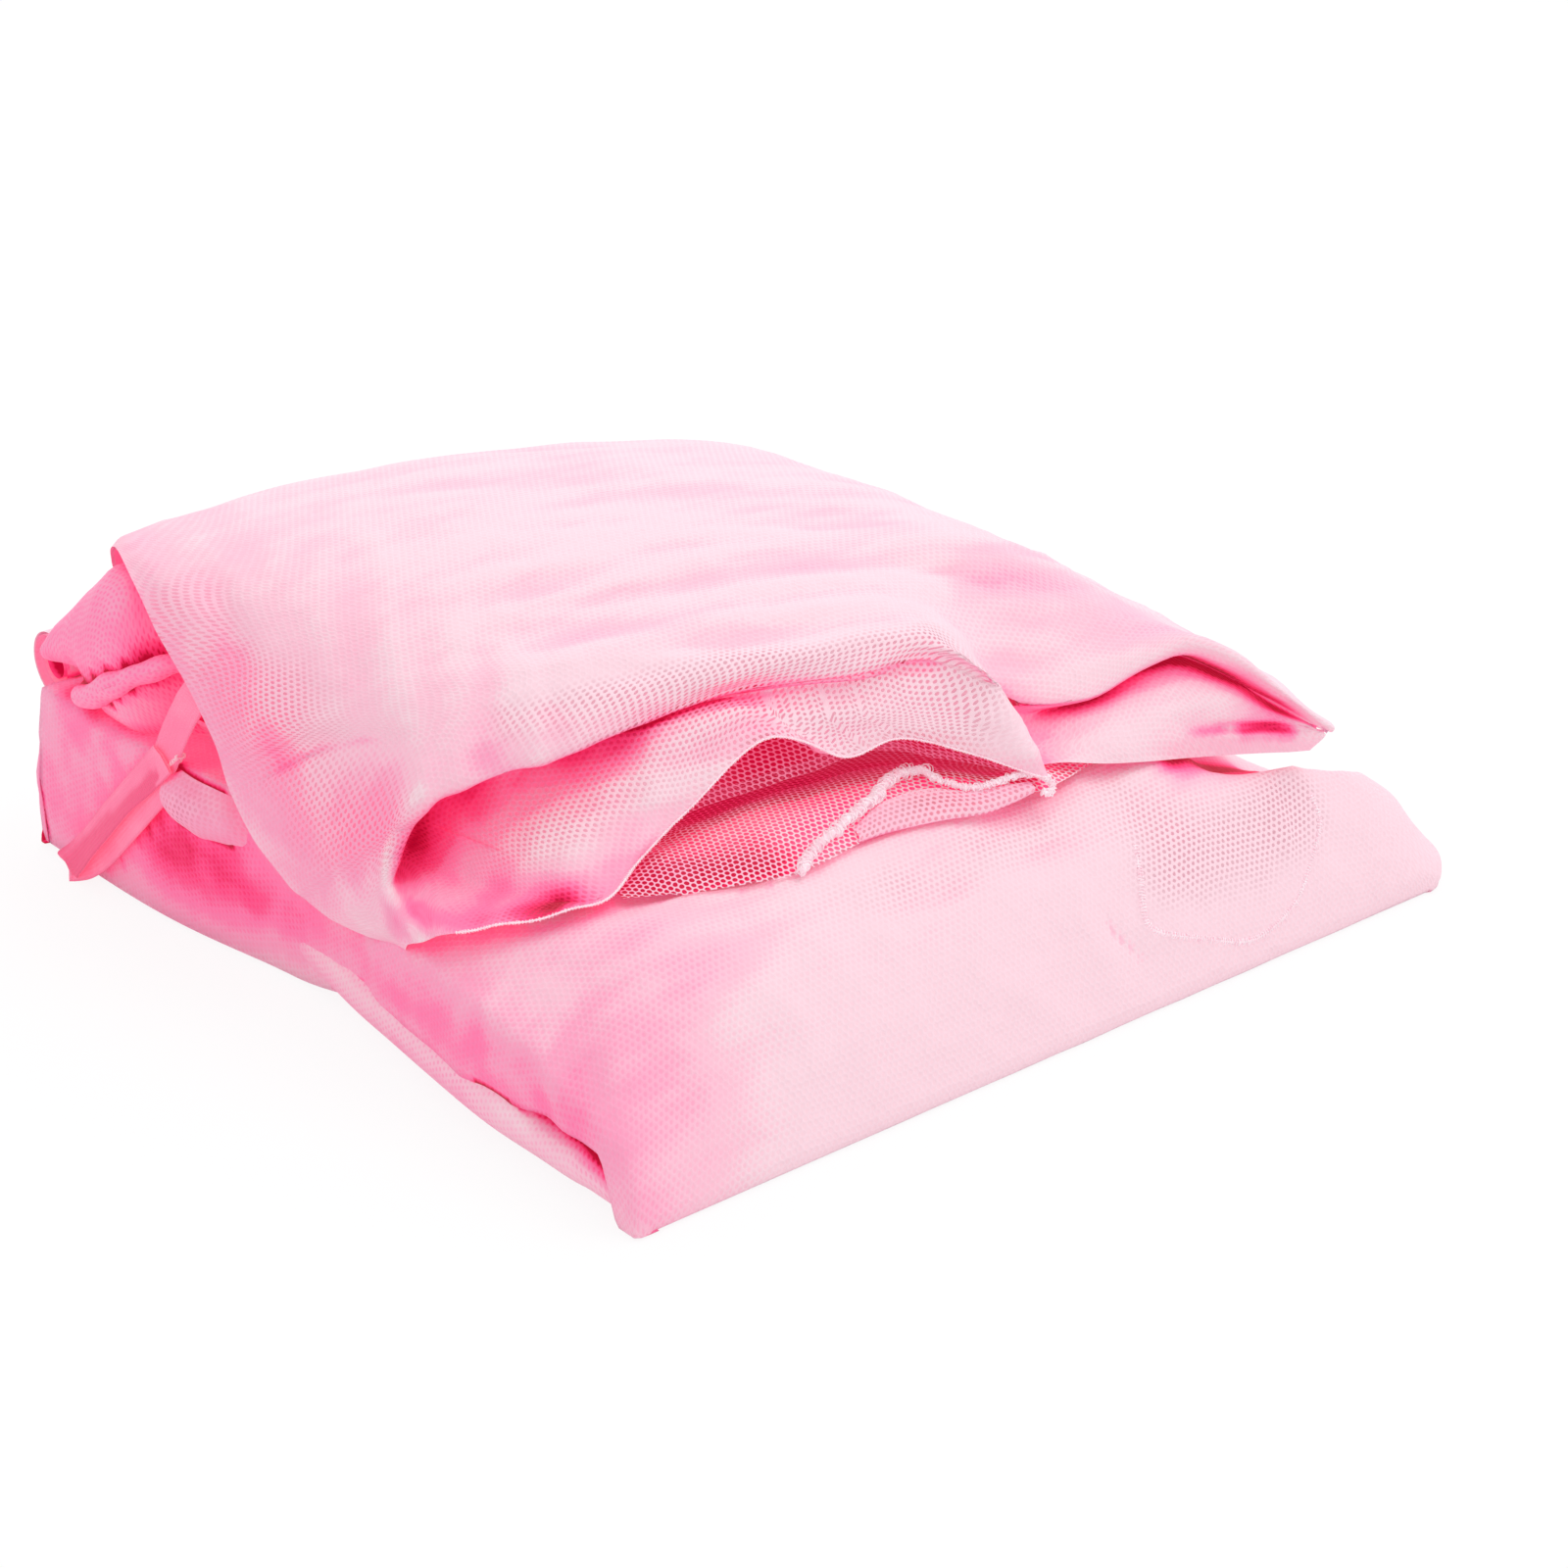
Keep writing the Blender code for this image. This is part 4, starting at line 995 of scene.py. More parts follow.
mouth_floor = rumple(mouth_floor, 0.7, 12, 21)
pressed_front = -88
floor_on_pack = 49.7
floor_free_rows = 2
lowest = np.where(mouth_floor[:, :, 1] > pressed_front * MM, floor_on_pack * MM, 0)
mouth_floor[:, :, 2] = np.maximum(mouth_floor[:, :, 2], lowest)
door_right = lay("door_curtain_right_net", mouth_floor, mouth_net, "upper_bundle")
floor_layers = layer_under(mouth_floor, 1.1)
floor_layers[:, :, 2] = np.maximum(floor_layers[:, :, 2], lowest - 0.3 * MM)
lay("door_curtain_right_layers", floor_layers[floor_free_rows:], shaded_crimson_net, "upper_bundle",
    under=door_right, skip=floor_free_rows)
# Painted shade: the mouth floor is deeper pink at its left end, under the arch, and at its back, under the
# upper ply.
door_right.painted["depth"] += 0.03
door_right.paint(
    "depth",
    ([(-92, -80, 50), (-78, -84, 51.5), (-62, -90, 51.5)], 0.36, 10),
    ([(-60, -60, 51), (-20, -62, 51), (10, -74, 51)], 0.3, 10))

# %% Upper ply and folded strip
upper_edge = [(-66, -66, 56), (-54, -66.5, 56.5), (-42, -69, 57.5), (-29, -72, 59), (-18, -73.5, 60.3),
              (-9, -77, 60), (-1, -84, 58.2), (8, -93, 56.2), (14, -99, 54.6)]


def shifted(rail, x, y, z):
    """Rail moved by an amount in each direction."""
    return [(px + x, py + y, pz + z) for px, py, pz in rail]


upper_ply = loft([shifted(upper_edge, -3, 30, 7), shifted(upper_edge, -2, 16, 6.5),
                  shifted(upper_edge, -1, 7, 3.6), upper_edge], 80, 30)[::-1]
upper_ply = rumple(upper_ply, 0.8, 9, 31, stretch=(1.6, 0.4, 1))
ply = lay("door_curtain_right_ply_net", upper_ply, mouth_net, "upper_bundle")
ply_free_rows = 5
lay("door_curtain_right_ply_layers", offset(upper_ply[ply_free_rows:], -0.7), shaded_crimson_net,
    "upper_bundle", under=ply, skip=ply_free_rows)
# Painted shade: the upper ply hangs in the shade of the arch, so it is painted deeper pink.
ply.painted["depth"] += 0.2
ply.paint("depth", ([(-60, -56, 60), (-20, -62, 64), (6, -84, 60)], 0.2, 16))
strip_top = [(-34, -91, 51.4), (-22, -88.5, 54), (-9, -90, 54.3), (-1, -97, 53.6), (7, -100, 53.8),
             (14, -102, 53.6)]
strip_foot = [(-36, -95, 49.8), (-25, -96, 49.9), (-12, -99, 49.9), (-2, -103, 50), (7, -104, 50.6),
              (13, -104.5, 51.6)]
strip_middle = [((ax + bx) / 2, (ay + by) / 2 - 1.4, (az + bz) / 2 + 0.5)
                for (ax, ay, az), (bx, by, bz) in zip(strip_top, strip_foot)]
strip_under = shifted(strip_foot, 0, 3, -0.5)
strip_grid = loft([strip_top, strip_middle, strip_foot, strip_under], 60, 18)[::-1]
strip = lay("door_curtain_right_strip", strip_grid, outer_net, "upper_bundle")
strip.painted["airy"] += 0.45
strip.paint("depth", ([(-34, -93, 51), (-10, -96, 52), (10, -103, 52)], 0.14, 10))

# %% [markdown]
# ## The roof panel's pleats
#
# The roof panel fills the upper pack between the mouth's floor and the flap. Its top follows the flap's
# under side, which is found by rays from above, and its last pleat hangs over the others at the left end as
# a thick soft roll.

# %% Roof panel
flap_tree = search_tree(flap)
roof_levels = 7
roof_bottom = 52
roll_reach = 13.5
roof_right = 82


def flap_height(x, y):
    """Height of the flap over a point of the plan, in millimetres."""
    hit = flap_tree.ray_cast(Vector((x * MM, y * MM, 0.2)), Vector((0, 0, -1)))
    return hit[0].z / MM if hit[0] is not None else roof_bottom + 10


def roof_top(x, y):
    """Top of the pleats: a little under the flap, and falling off behind it at the left end."""
    below_flap = flap_height(max(min(x, 100), -108), min(y, 100)) - 4.5
    left_share = float(smooth_step((-90 - x) / 25))
    left_outline = float(np.interp(y, [40, 55, 66, 80, 91, 102, 114, 117], [66, 70, 78, 88, 89, 80, 69, 64]))
    behind = 90 - 1.05 * max(y - 88, 0)
    return min(below_flap, behind) * (1 - left_share) + min(left_outline, below_flap + 2) * left_share


def roof_front(x):
    """How far forward the pleats reach: behind the cone, the mouth and the wing."""
    return float(np.interp(x, [-136, -112, -95, -60, -30, 0, 40, 84], [22, 4, -20, -38, -44, -52, -70, -72]))


def roof_place(share, level, side, depth_share):
    """Point of the roof panel's pleats in the upper pack."""
    x = -122 + (roof_right + 122) * share
    front = roof_front(x) + 3 * noise.noise(Vector((x / 20, level * 8, 2)))
    y = 117 + (front - 117) * depth_share
    top = roof_top(x, y)
    uneven = 3 * noise.noise(Vector((level * 9, y / 45, 14)))
    x += side * 2.6 + uneven * (1 if share in (0, 1) else 0.5)
    x += 22 * float(smooth_step((82 - y) / 30)) * (1 - share) ** 4
    ripple = 0.5 * noise.noise(Vector((x / 18, y / 26, level * 5)))
    return x, y, roof_bottom + (top - roof_bottom) * level + ripple


roof_section = [(1 - share, level, -side) for share, level, side in pleat_section(roof_levels, 30, 5)]
hanging_points = 16
roof_rows = []
for depth_share in np.linspace(0, 1, 60):
    row = [roof_place(share, level / (roof_levels - 1), side, depth_share)
           for share, level, side in roof_section]
    x_end, y_end, z_end = row[-1]
    uneven_reach = roll_reach + 1.5 * noise.noise(Vector((y_end / 22, 3, 5)))
    reach = uneven_reach * float(smooth_step((y_end - 48) / 30))
    fall = max(z_end - 42 - 11 * float(smooth_step((y_end - 92) / 12)), 4)
    for step in range(1, hanging_points + 1):
        angle = math.pi * 0.93 * step / hanging_points
        row.append((x_end - 2 - reach * math.sin(angle), y_end, z_end - fall * (0.5 - 0.5 * math.cos(angle))))
    roof_rows.append(row)
roof_grid = np.array(roof_rows) * MM
roof_grid = rumple(roof_grid, 0.8, 30, 44, stretch=(1, 0.6, 1))
roof = lay("roof_panel_pleats", roof_grid, rolled_net, "upper_bundle")
# Painted shade on the hanging roll at the left end, which faces away from the lamps.
roof.paint("depth", ([(-132, 60, 70), (-133, 90, 72), (-128, 112, 62)], 0.22, 24))

# %% Under side of the upper pack
# It is only seen when the bundle is opened. It turns up a little at the sides and at the back.
under_side_rails = [
    [(-119, 117, 53), (-110, 117.5, 50.6), (-40, 118, 50.4), (40, 116, 50.4), (84, 110, 50.6), (92, 108, 53)],
    [(-122, 106, 53), (-112, 107, 49.4), (-40, 107, 49), (40, 106, 49), (85, 100, 49.4), (94, 99, 53)],
    [(-122, 60, 53), (-112, 60, 49.2), (-40, 58, 48.8), (40, 56, 48.8), (86, 50, 49.2), (95, 50, 53)],
    [(-116, 0, 53), (-106, 0, 49.2), (-40, 0, 48.8), (40, 0, 48.8), (88, -4, 49), (96, -5, 52)],
    [(-106, -50, 52), (-98, -50, 49.2), (-40, -50, 48.8), (40, -52, 48.8), (88, -60, 48.9), (96, -62, 51)],
    [(-99, -76, 50), (-88, -84, 49.1), (-56, -95, 48.8), (-30, -94, 49.2), (10, -98, 49.4), (50, -97, 48.9),
     (92, -102, 48.6)]]
under_side = loft(under_side_rails, 90, 90)
under_side = rumple(under_side, 0.5, 24, 51, stretch=(1, 0.5, 1))
turned_up = 50.2
under_side_top = 49.1
under_heights = under_side[:, :, 2]
under_side[:, :, 2] = np.where(under_heights < turned_up * MM,
                               np.minimum(under_heights, under_side_top * MM), under_heights)
under_side_cloth = lay("door_curtain_right_under_side", under_side, rolled_net, "upper_bundle")

# %% [markdown]
# ## The rolled seam in the back fold
#
# Where the two packs join, the net turns round a rolled seam. The roll stays with the lower pack. A cover of
# net goes round its back, and an inner side closes the gap in front of it.

# %% Roof seam
seam_y = 128.5
seam_z = 49
seam_radius = 7.6
seam_turns = 2.4
seam_rows = []
for x in np.linspace(-127, 97, 90):
    row = []
    for step in range(70):
        turn = step / 69 * seam_turns * 2 * math.pi
        size = seam_radius * (1 - 0.24 * turn / (2 * math.pi)) + 0.4 * noise.noise(Vector((x / 14, turn, 7)))
        row.append((x, seam_y - size * math.cos(turn), seam_z - 0.4 + size * math.sin(turn)))
    seam_rows.append(row)
seam = lay("roof_seam_roll", np.array(seam_rows)[::-1] * MM, solid_net, "lower_bundle")
# Less painted shade: the roll is paler than its measured depth makes it.
seam.painted["depth"] -= 0.25

# %% Back fold cover
cover_rows = []
for x in np.linspace(-129, 100, 90):
    row = []
    for angle in np.linspace(math.radians(-112), math.radians(118), 36):
        reach = 9.4 + 0.5 * noise.noise(Vector((x / 16, angle, 9)))
        drawn_in = smooth_step((abs(math.degrees(angle)) - 80) / 40) * 3
        row.append((x, seam_y + (reach - drawn_in) * math.cos(angle) - 1.0, seam_z + reach * math.sin(angle)))
    cover_rows.append(row)
cover = lay("back_fold_cover", np.array(cover_rows) * MM, outer_net, "back fold")
bridge_profile = [(106, 46.8), (114, 47), (118.5, 47.4), (120, 48), (120.6, 49), (120, 50), (118.5, 50.6),
                  (112, 50.2), (106, 49.6)]
bridge_rails = [[(-122, y, z), (-90, y + 0.4, z), (-30, y, z), (40, y + 0.3, z), (90, y, z)]
                for y, z in bridge_profile]
bridge = lay("back_fold_inner_side", loft(bridge_rails, 90, 60), rolled_net, "inner fold")
# Less painted shade: paler than its measured depth makes it.
bridge.painted["depth"] -= 0.1
lay("back_fold_cover_layers", offset(np.array(cover_rows) * MM, -0.8), solid_net, "back fold", under=cover)

# %% [markdown]
# ## Overlocked hems and bar tacks
#
# The hems are overlocked: a machine loops thread round the cloth's edge, a loop each 0.8 mm or so, which
# makes a soft pale cord. Geometry Nodes set the loops along the hem's curve: one ring of thread at each
# stitch, tilted a little differently each time, and finer rings for the fluff.

# %% Overlock node tree
def make_overlock_tree():
    """Node tree that wraps rings of thread round a curve."""
    tree = bpy.data.node_groups.new("overlock stitches", "GeometryNodeTree")
    face = tree.interface
    face.new_socket("Geometry", in_out="INPUT", socket_type="NodeSocketGeometry")
    for label, default in (("Width", 0.003), ("Thickness", 0.002), ("Stitch", 0.0008), ("Thread", 0.0003),
                           ("Tilt", 0.3), ("Fluff", 0.5)):
        face.new_socket(label, in_out="INPUT", socket_type="NodeSocketFloat").default_value = default
    face.new_socket("Seed", in_out="INPUT", socket_type="NodeSocketInt")
    face.new_socket("Finish", in_out="INPUT", socket_type="NodeSocketMaterial")
    face.new_socket("Geometry", in_out="OUTPUT", socket_type="NodeSocketGeometry")
    entry = tree.nodes.new("NodeGroupInput").outputs
    result = tree.nodes.new("NodeGroupOutput")

    def share_of(label, share):
        """A share of one of the sizes that come in."""
        return calculate(tree, "MULTIPLY", entry[label], share)

    oval_size = add_node(tree, "ShaderNodeCombineXYZ",
                         {0: share_of("Width", 0.5), 1: share_of("Thickness", 0.5), 2: 1.0}).outputs[0]

    def circle(points, radius):
        """Circle of a number of points."""
        return add_node(tree, "GeometryNodeCurvePrimitiveCircle",
                        {"Resolution": points, "Radius": radius}).outputs["Curve"]

    def swept(curve, section, **inputs):
        """Mesh of a section that is swept along a curve."""
        return add_node(tree, "GeometryNodeCurveToMesh",
                        {"Curve": curve, "Profile Curve": section, **inputs}).outputs["Mesh"]

    def ring(points, thread_share, sides):
        """Oval ring of thread, as a mesh."""
        oval = add_node(tree, "GeometryNodeTransform", {"Geometry": circle(points, 1.0), "Scale": oval_size})
        return swept(oval.outputs["Geometry"], circle(sides, share_of("Thread", thread_share)))

    def tilted_rings(mesh, stitch, tilt, low, high):
        """The ring at every stitch, turned and scaled a little differently each time."""
        stations = add_node(tree, "GeometryNodeCurveToPoints",
                            {"Curve": entry["Geometry"], "Length": stitch}, mode="LENGTH").outputs
        most = add_node(tree, "ShaderNodeCombineXYZ", {0: tilt, 1: tilt, 2: tilt}).outputs[0]
        least = add_node(tree, VECTOR_MATH, {0: most, "Scale": -1.0}, operation="SCALE").outputs[0]
        spin = add_node(tree, "FunctionNodeRandomValue",
                        {"Min": least, "Max": most, "Seed": entry["Seed"]}, data_type="FLOAT_VECTOR")
        euler = add_node(tree, "FunctionNodeEulerToRotation", {0: spin.outputs["Value"]})
        turned = add_node(tree, "FunctionNodeRotateRotation",
                          {"Rotation": stations["Rotation"], "Rotate By": euler.outputs[0]},
                          rotation_space="LOCAL")
        size = add_node(tree, "FunctionNodeRandomValue", {2: low, 3: high, "Seed": entry["Seed"]},
                        data_type="FLOAT")
        copies = add_node(tree, "GeometryNodeInstanceOnPoints",
                          {"Points": stations["Points"], "Instance": mesh,
                           "Rotation": turned.outputs["Rotation"], "Scale": size.outputs[1]})
        return copies.outputs["Instances"]

    stitches = tilted_rings(ring(12, 1.0, 4), entry["Stitch"], entry["Tilt"], 0.88, 1.08)
    loose = tilted_rings(ring(9, 0.4, 3), share_of("Stitch", 1.3), entry["Fluff"], 0.95, 1.35)
    core = swept(entry["Geometry"], circle(8, share_of("Thickness", 0.36)), **{"Fill Caps": True})
    together = tree.nodes.new("GeometryNodeJoinGeometry")
    for part in (core, loose, stitches):
        set_inputs(tree, together, {0: part})
    real = add_node(tree, "GeometryNodeRealizeInstances", {0: together.outputs[0]})
    finish = add_node(tree, "GeometryNodeSetMaterial",
                      {"Geometry": real.outputs[0], "Material": entry["Finish"]})
    set_inputs(tree, result, {0: finish.outputs[0]})
    return tree


overlock_tree = make_overlock_tree()
print("overlock tree with", len(overlock_tree.nodes), "nodes")


# %% Thread and tape finishes
def thread_material(name, pale, deep):
    """Soft overlock thread: pale, with slow noise towards pink, and fine fibres."""
    finish, tree, shader = new_finish(name)
    place = add_node(tree, "ShaderNodeTexCoord").outputs["Object"]
    cloud = noise_at(tree, place, Scale=420.0, Detail=3.0)
    fibre = noise_at(tree, place, Scale=5200.0, Detail=2.0)
    # The pink emission is a painted glow that keeps the thread pink in its own shade.
    set_cloth_surface(tree, shader, 0.9, Normal=add_bump(tree, fibre, 0.6, 0.12),
                      Base_Color=colour_ramp(tree, cloud, [(0.35, pale), (0.75, deep)]),
                      Emission_Color=(1.0, 0.66, 0.76, 1), Emission_Strength=0.14)
    return finish


def tape_material(name):
    """Woven tape: fine ribs across, a groove near each edge, and a deeper pink than the net."""
    finish, tree, shader = new_finish(name)
    flat = add_node(tree, "ShaderNodeUVMap", uv_map="flat").outputs["UV"]
    place = add_node(tree, "ShaderNodeTexCoord").outputs["Object"]
    ribs = add_node(tree, "ShaderNodeTexWave", {"Vector": flat, "Scale": 0.42, "Distortion": 1.2,
                                                "Detail": 1.0, "Detail Scale": 3.0}, bands_direction="Y")
    warp = add_node(tree, "ShaderNodeTexWave", {"Vector": flat, "Scale": 0.3, "Distortion": 0.6},
                    bands_direction="X")
    weave = calculate(tree, "MULTIPLY", ribs.outputs["Fac"], warp.outputs["Fac"])
    # Deeper where the depth, which is painted shade, is high, and a little by slow noise, the tape's own
    # tone.
    depth = add_node(tree, "ShaderNodeAttribute", attribute_name="depth").outputs["Fac"]
    shade = calculate(tree, "MULTIPLY_ADD", noise_at(tree, place, Scale=90.0, Detail=3.0), 0.45, depth)
    lighter = calculate(tree, "MULTIPLY_ADD", weave, -0.1, shade)
    tape_colour = colour_ramp(tree, lighter, [(0.1, (1.0, 0.34, 0.5, 1)), (0.5, (0.97, 0.2, 0.37, 1)),
                                              (0.95, (0.85, 0.07, 0.2, 1))])
    # The pink emission is a painted glow.
    set_cloth_surface(tree, shader, 0.8, Normal=add_bump(tree, weave, 0.6, 0.25), Base_Color=tape_colour,
                      Emission_Color=(1.0, 0.25, 0.4, 1), Emission_Strength=0.22)
    return finish


hem_thread = thread_material("overlock_thread", (1.0, 0.9, 0.94, 1), (1.0, 0.74, 0.82, 1))
tack_thread = thread_material("tack_thread", (1.0, 0.62, 0.72, 1), (1.0, 0.42, 0.55, 1))
tape_finish = tape_material("woven_tape")


# %% Stitch a hem
def on_net(route, cloth, lift_up):
    """Route laid onto a cloth's surface and raised a little off it, in metres."""
    flat = cloth.grid.reshape(-1, 3)
    normals = outward_normals(cloth.grid).reshape(-1, 3)
    line = through(np.array(route, float) * MM, 60)
    nearest_points = np.linalg.norm(flat[None] - line[:, None], axis=2).argmin(axis=1)
    return flat[nearest_points] + normals[nearest_points] * lift_up * MM


def smoothed(line, rounds=3):
    """Line of points with its small steps averaged away."""
    for _ in range(rounds):
        middle = (line[:-2] + 2 * line[1:-1] + line[2:]) / 4
        line = np.concatenate([line[:1], middle, line[-1:]])
    return line


def wavy(line, height, seed):
    """Line of points that wavers a little, in millimetres, as a stretched hem does."""
    sways = [noise.noise_vector(Vector((index / 3.5, seed, 0))) for index in range(len(line))]
    return line + np.array(sways) * height * MM


def overlock(name, line, width, thickness, stitch, thread, seed, finish, tilt=0.3, fluff=0.6):
    """Mesh piece of overlock stitches along a line of points in metres; sizes in millimetres."""
    curve = bpy.data.curves.new(name, "CURVE")
    curve.dimensions = "3D"
    spline = curve.splines.new("POLY")
    spline.points.add(len(line) - 1)
    for point, spot in zip(spline.points, line):
        point.co = (*spot, 1)
    guide = add_object(name + "_guide", curve)
    stitches = guide.modifiers.new("overlock", "NODES")
    stitches.node_group = overlock_tree
    values = {"Width": width * MM, "Thickness": thickness * MM, "Stitch": stitch * MM, "Thread": thread * MM,
              "Tilt": tilt, "Fluff": fluff, "Seed": seed, "Finish": finish}
    for item in overlock_tree.interface.items_tree:
        if item.in_out == "INPUT" and item.name in values:
            stitches[item.identifier] = values[item.name]
    evaluated = guide.evaluated_get(bpy.context.evaluated_depsgraph_get())
    mesh = bpy.data.meshes.new_from_object(evaluated)
    mesh.name = name
    bpy.data.objects.remove(guide)
    mesh.shade_smooth()
    print(name, "has", len(mesh.polygons), "faces")
    return add_object(name, mesh)


hem_span = slice(flap_side * 34 // 150, flap_side * 120 // 150)
lip_row = smoothed(flap[0, hem_span] + outward_normals(flap)[0, hem_span] * 0.2 * MM)
hem_left = overlock("door_hem_left_overlock", lip_row, 0.9, 0.6, 0.8, 0.11, 3, hem_thread, fluff=1.2)
hem_route = [(-56, -98, 49.6), (-50, -94.5, 51.2), (-41, -91.5, 52.6), (-33, -89.5, 54), (-26, -88, 55),
             (-18, -84.5, 56), (-11, -83, 56.6), (-5, -85, 56.8)]
rise_line = wavy(through(np.array(hem_route) * MM, 50), 0.7, 5)
hem_right_rise = overlock("door_hem_right_overlock", rise_line, 3.4, 2.3, 0.75, 0.24, 5, hem_thread,
                          tilt=0.75, fluff=1.5)
curl_route = [(-6, -86, 56.6), (-5, -91, 55.4), (-1, -96, 54.4), (5, -99, 54.8), (9, -100, 55.4),
              (13, -101, 55.5), (16.5, -103, 54.9), (18.4, -105, 53.6), (18, -106.5, 52.2),
              (16.2, -106.8, 51.5), (15, -105.8, 51.9)]
curl_line = wavy(through(np.array(curl_route) * MM, 60), 0.35, 7)
hem_right_curl = overlock("door_hem_right_curl", curl_line, 2.1, 1.5, 0.7, 0.22, 7, hem_thread,
                          tilt=0.7, fluff=1.4)
bottom_line = smoothed(on_net(hem_band, far_side, -0.2), 8)
bottom_hem = overlock("bottom_hem_overlock", bottom_line, 1.7, 0.9, 0.8, 0.18, 9, hem_thread)

# %% [markdown]
# ## Corner loops
#
# At each corner of the roof a loop of woven tape is sewn on, to hang the canopy by. One has come out at the
# left end and hangs down the side. The tape is a thin closed strip: a flat section with a soft fold along its
# middle, swept along the loop's route.

# %% Tape loops
tape_width = 8.8
tape_thick = 0.9
section_points = 14


def directions(line):
    """Unit direction of a line at each of its points."""
    tangents = np.gradient(line, axis=0)
    return tangents / np.linalg.norm(tangents, axis=1, keepdims=True)


def tape_loop(name, route, facing, body, seed, width=tape_width):
    """Closed strip of tape along a route in millimetres, with its flat side towards a direction."""
    line = through(np.array(route, float), 84)
    facings = through(np.array(facing, float), 84)
    rows = []
    for index, (spot, along, out) in enumerate(zip(line, directions(line), facings)):
        across = np.cross(along, out)
        across /= np.linalg.norm(across)
        out = np.cross(across, along)
        wide = width * (1 + 0.06 * noise.noise(Vector((index / 9, seed, 0))))
        row = []
        for step in range(section_points):
            turn = step / (section_points - 1) * 2 * math.pi
            side = math.copysign(abs(math.cos(turn)) ** 0.6, math.cos(turn)) * wide / 2
            groove = -0.7 * math.exp(-(side / (0.13 * wide)) ** 2) + 0.35 * (2 * side / wide) ** 2
            height = tape_thick / 2 * math.copysign(abs(math.sin(turn)) ** 0.6, math.sin(turn)) + groove
            row.append(spot + across * side + out * height)
        rows.append(row)
    grid = np.array(rows) * MM
    return lay(name, grid, tape_finish, body)


loop_route = [(-137, 56.5, 48.5), (-138.8, 63, 41.5), (-140.6, 71, 33.5), (-142, 80, 24), (-143, 88, 15.5),
              (-143.6, 95, 8.5), (-143.8, 99.5, 4.8), (-143, 101, 3.6), (-141.8, 99.5, 3.8), (-141.2, 93, 7),
              (-140.8, 86, 12.5), (-140.2, 78, 20), (-139.4, 69, 29), (-138, 61, 37.5), (-136, 57, 42.5)]
loop_facing = [(-0.9, -0.3, 0.2), (-0.95, -0.2, 0.25), (-1, 0, 0.3), (-1, 0.1, 0.2), (-1, 0.1, 0.3),
               (-1, -0.1, 0.2), (-0.6, 0.5, -0.6), (0, 0.75, -0.66), (0.6, 0.5, -0.6), (1, 0, -0.3),
               (1, 0, 0), (1, 0, 0), (1, 0, 0), (1, 0, 0), (1, 0, 0)]
hanging_loop = tape_loop("corner_loop_1_tape", loop_route, loop_facing, "sewn loop", 1)
root_route = [(-130, 43, 74), (-133, 47.5, 66), (-135, 52, 57.5), (-135.6, 57.5, 48), (-135.4, 61, 43)]
tape_loop("corner_loop_1_root", root_route, [(-0.9, -0.35, 0.2), (-0.9, -0.3, 0.2)], "lower_bundle", 1)


# %% Tucked loops and bar tacks
def tucked_loop(number):
    """Small tape loop that lies flat between the folds, inside the box of its frame node."""
    low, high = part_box(f"corner_loop_{number}")
    x0, y0, z0 = (value / MM for value in low)
    x1, y1, z1 = (value / MM for value in high)
    y_mid, z_mid, swing = (y0 + y1) / 2, (z0 + z1) / 2, (y1 - y0) / 2 - 4.2
    plan = [(x0, -0.8), (x0 + 12, -1), (x1 - 9, -1), (x1 - 4.2, 0), (x1 - 9, 1), (x0 + 12, 1), (x0, 0.8)]
    route = [(x, y_mid + swing * share, z_mid) for x, share in plan]
    return tape_loop(f"corner_loop_{number}_tape", route, [(0, 0, 1)] * 2, "lower_bundle", number,
                     width=6.5)


def bar_tack(number):
    """Dense satin stitches across a loop's base, along the longest side of its frame node."""
    low, high = (np.array(corner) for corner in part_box(f"bar_tack_{number}"))
    size = high - low
    middle = (low + high) / 2
    start, end = low.copy(), high.copy()
    thin = size.argmin()
    start[thin] = end[thin] = middle[thin]
    if number > 1:
        start[0] = end[0] = middle[0]
    line = np.linspace(start, end, 12)
    if number == 1:
        line = np.array([(middle[0], low[1] + (high[1] - low[1]) * t, high[2] - (high[2] - low[2]) * t)
                         for t in np.linspace(0.08, 0.92, 12)])
    return overlock(f"bar_tack_{number}_stitches", line, 2.6, 1.1, 0.45, 0.2, 20 + number, tack_thread,
                    tilt=0.12, fluff=0.2)


tucked_loops = {number: tucked_loop(number) for number in (2, 3, 4)}
tacks = {number: bar_tack(number) for number in (1, 2, 3, 4)}

# %% [markdown]
# ## Loose ends at the left
#
# Beside the hanging loop a bit of net is twisted out of the upper pack, and under it the net of the lower
# pack bulges out in a thin, see-through fold.

# %% Twisted bit and bulge
def tube_grid(route, radii, points, around):
    """Soft tube of cloth along a route in millimetres, with a radius for each of its control points."""
    line = through(route, points)
    sizes = through(np.array(radii)[:, None], points)[:, 0]
    rows = []
    for spot, along, size in zip(line, directions(line), sizes):
        side = np.cross(along, (0, 0, 1))
        side /= np.linalg.norm(side)
        top = np.cross(side, along)
        turns = np.linspace(2 * math.pi, 0, around)
        rows.append([spot + size * (side * math.cos(turn) + top * math.sin(turn)) for turn in turns])
    return np.array(rows) * MM


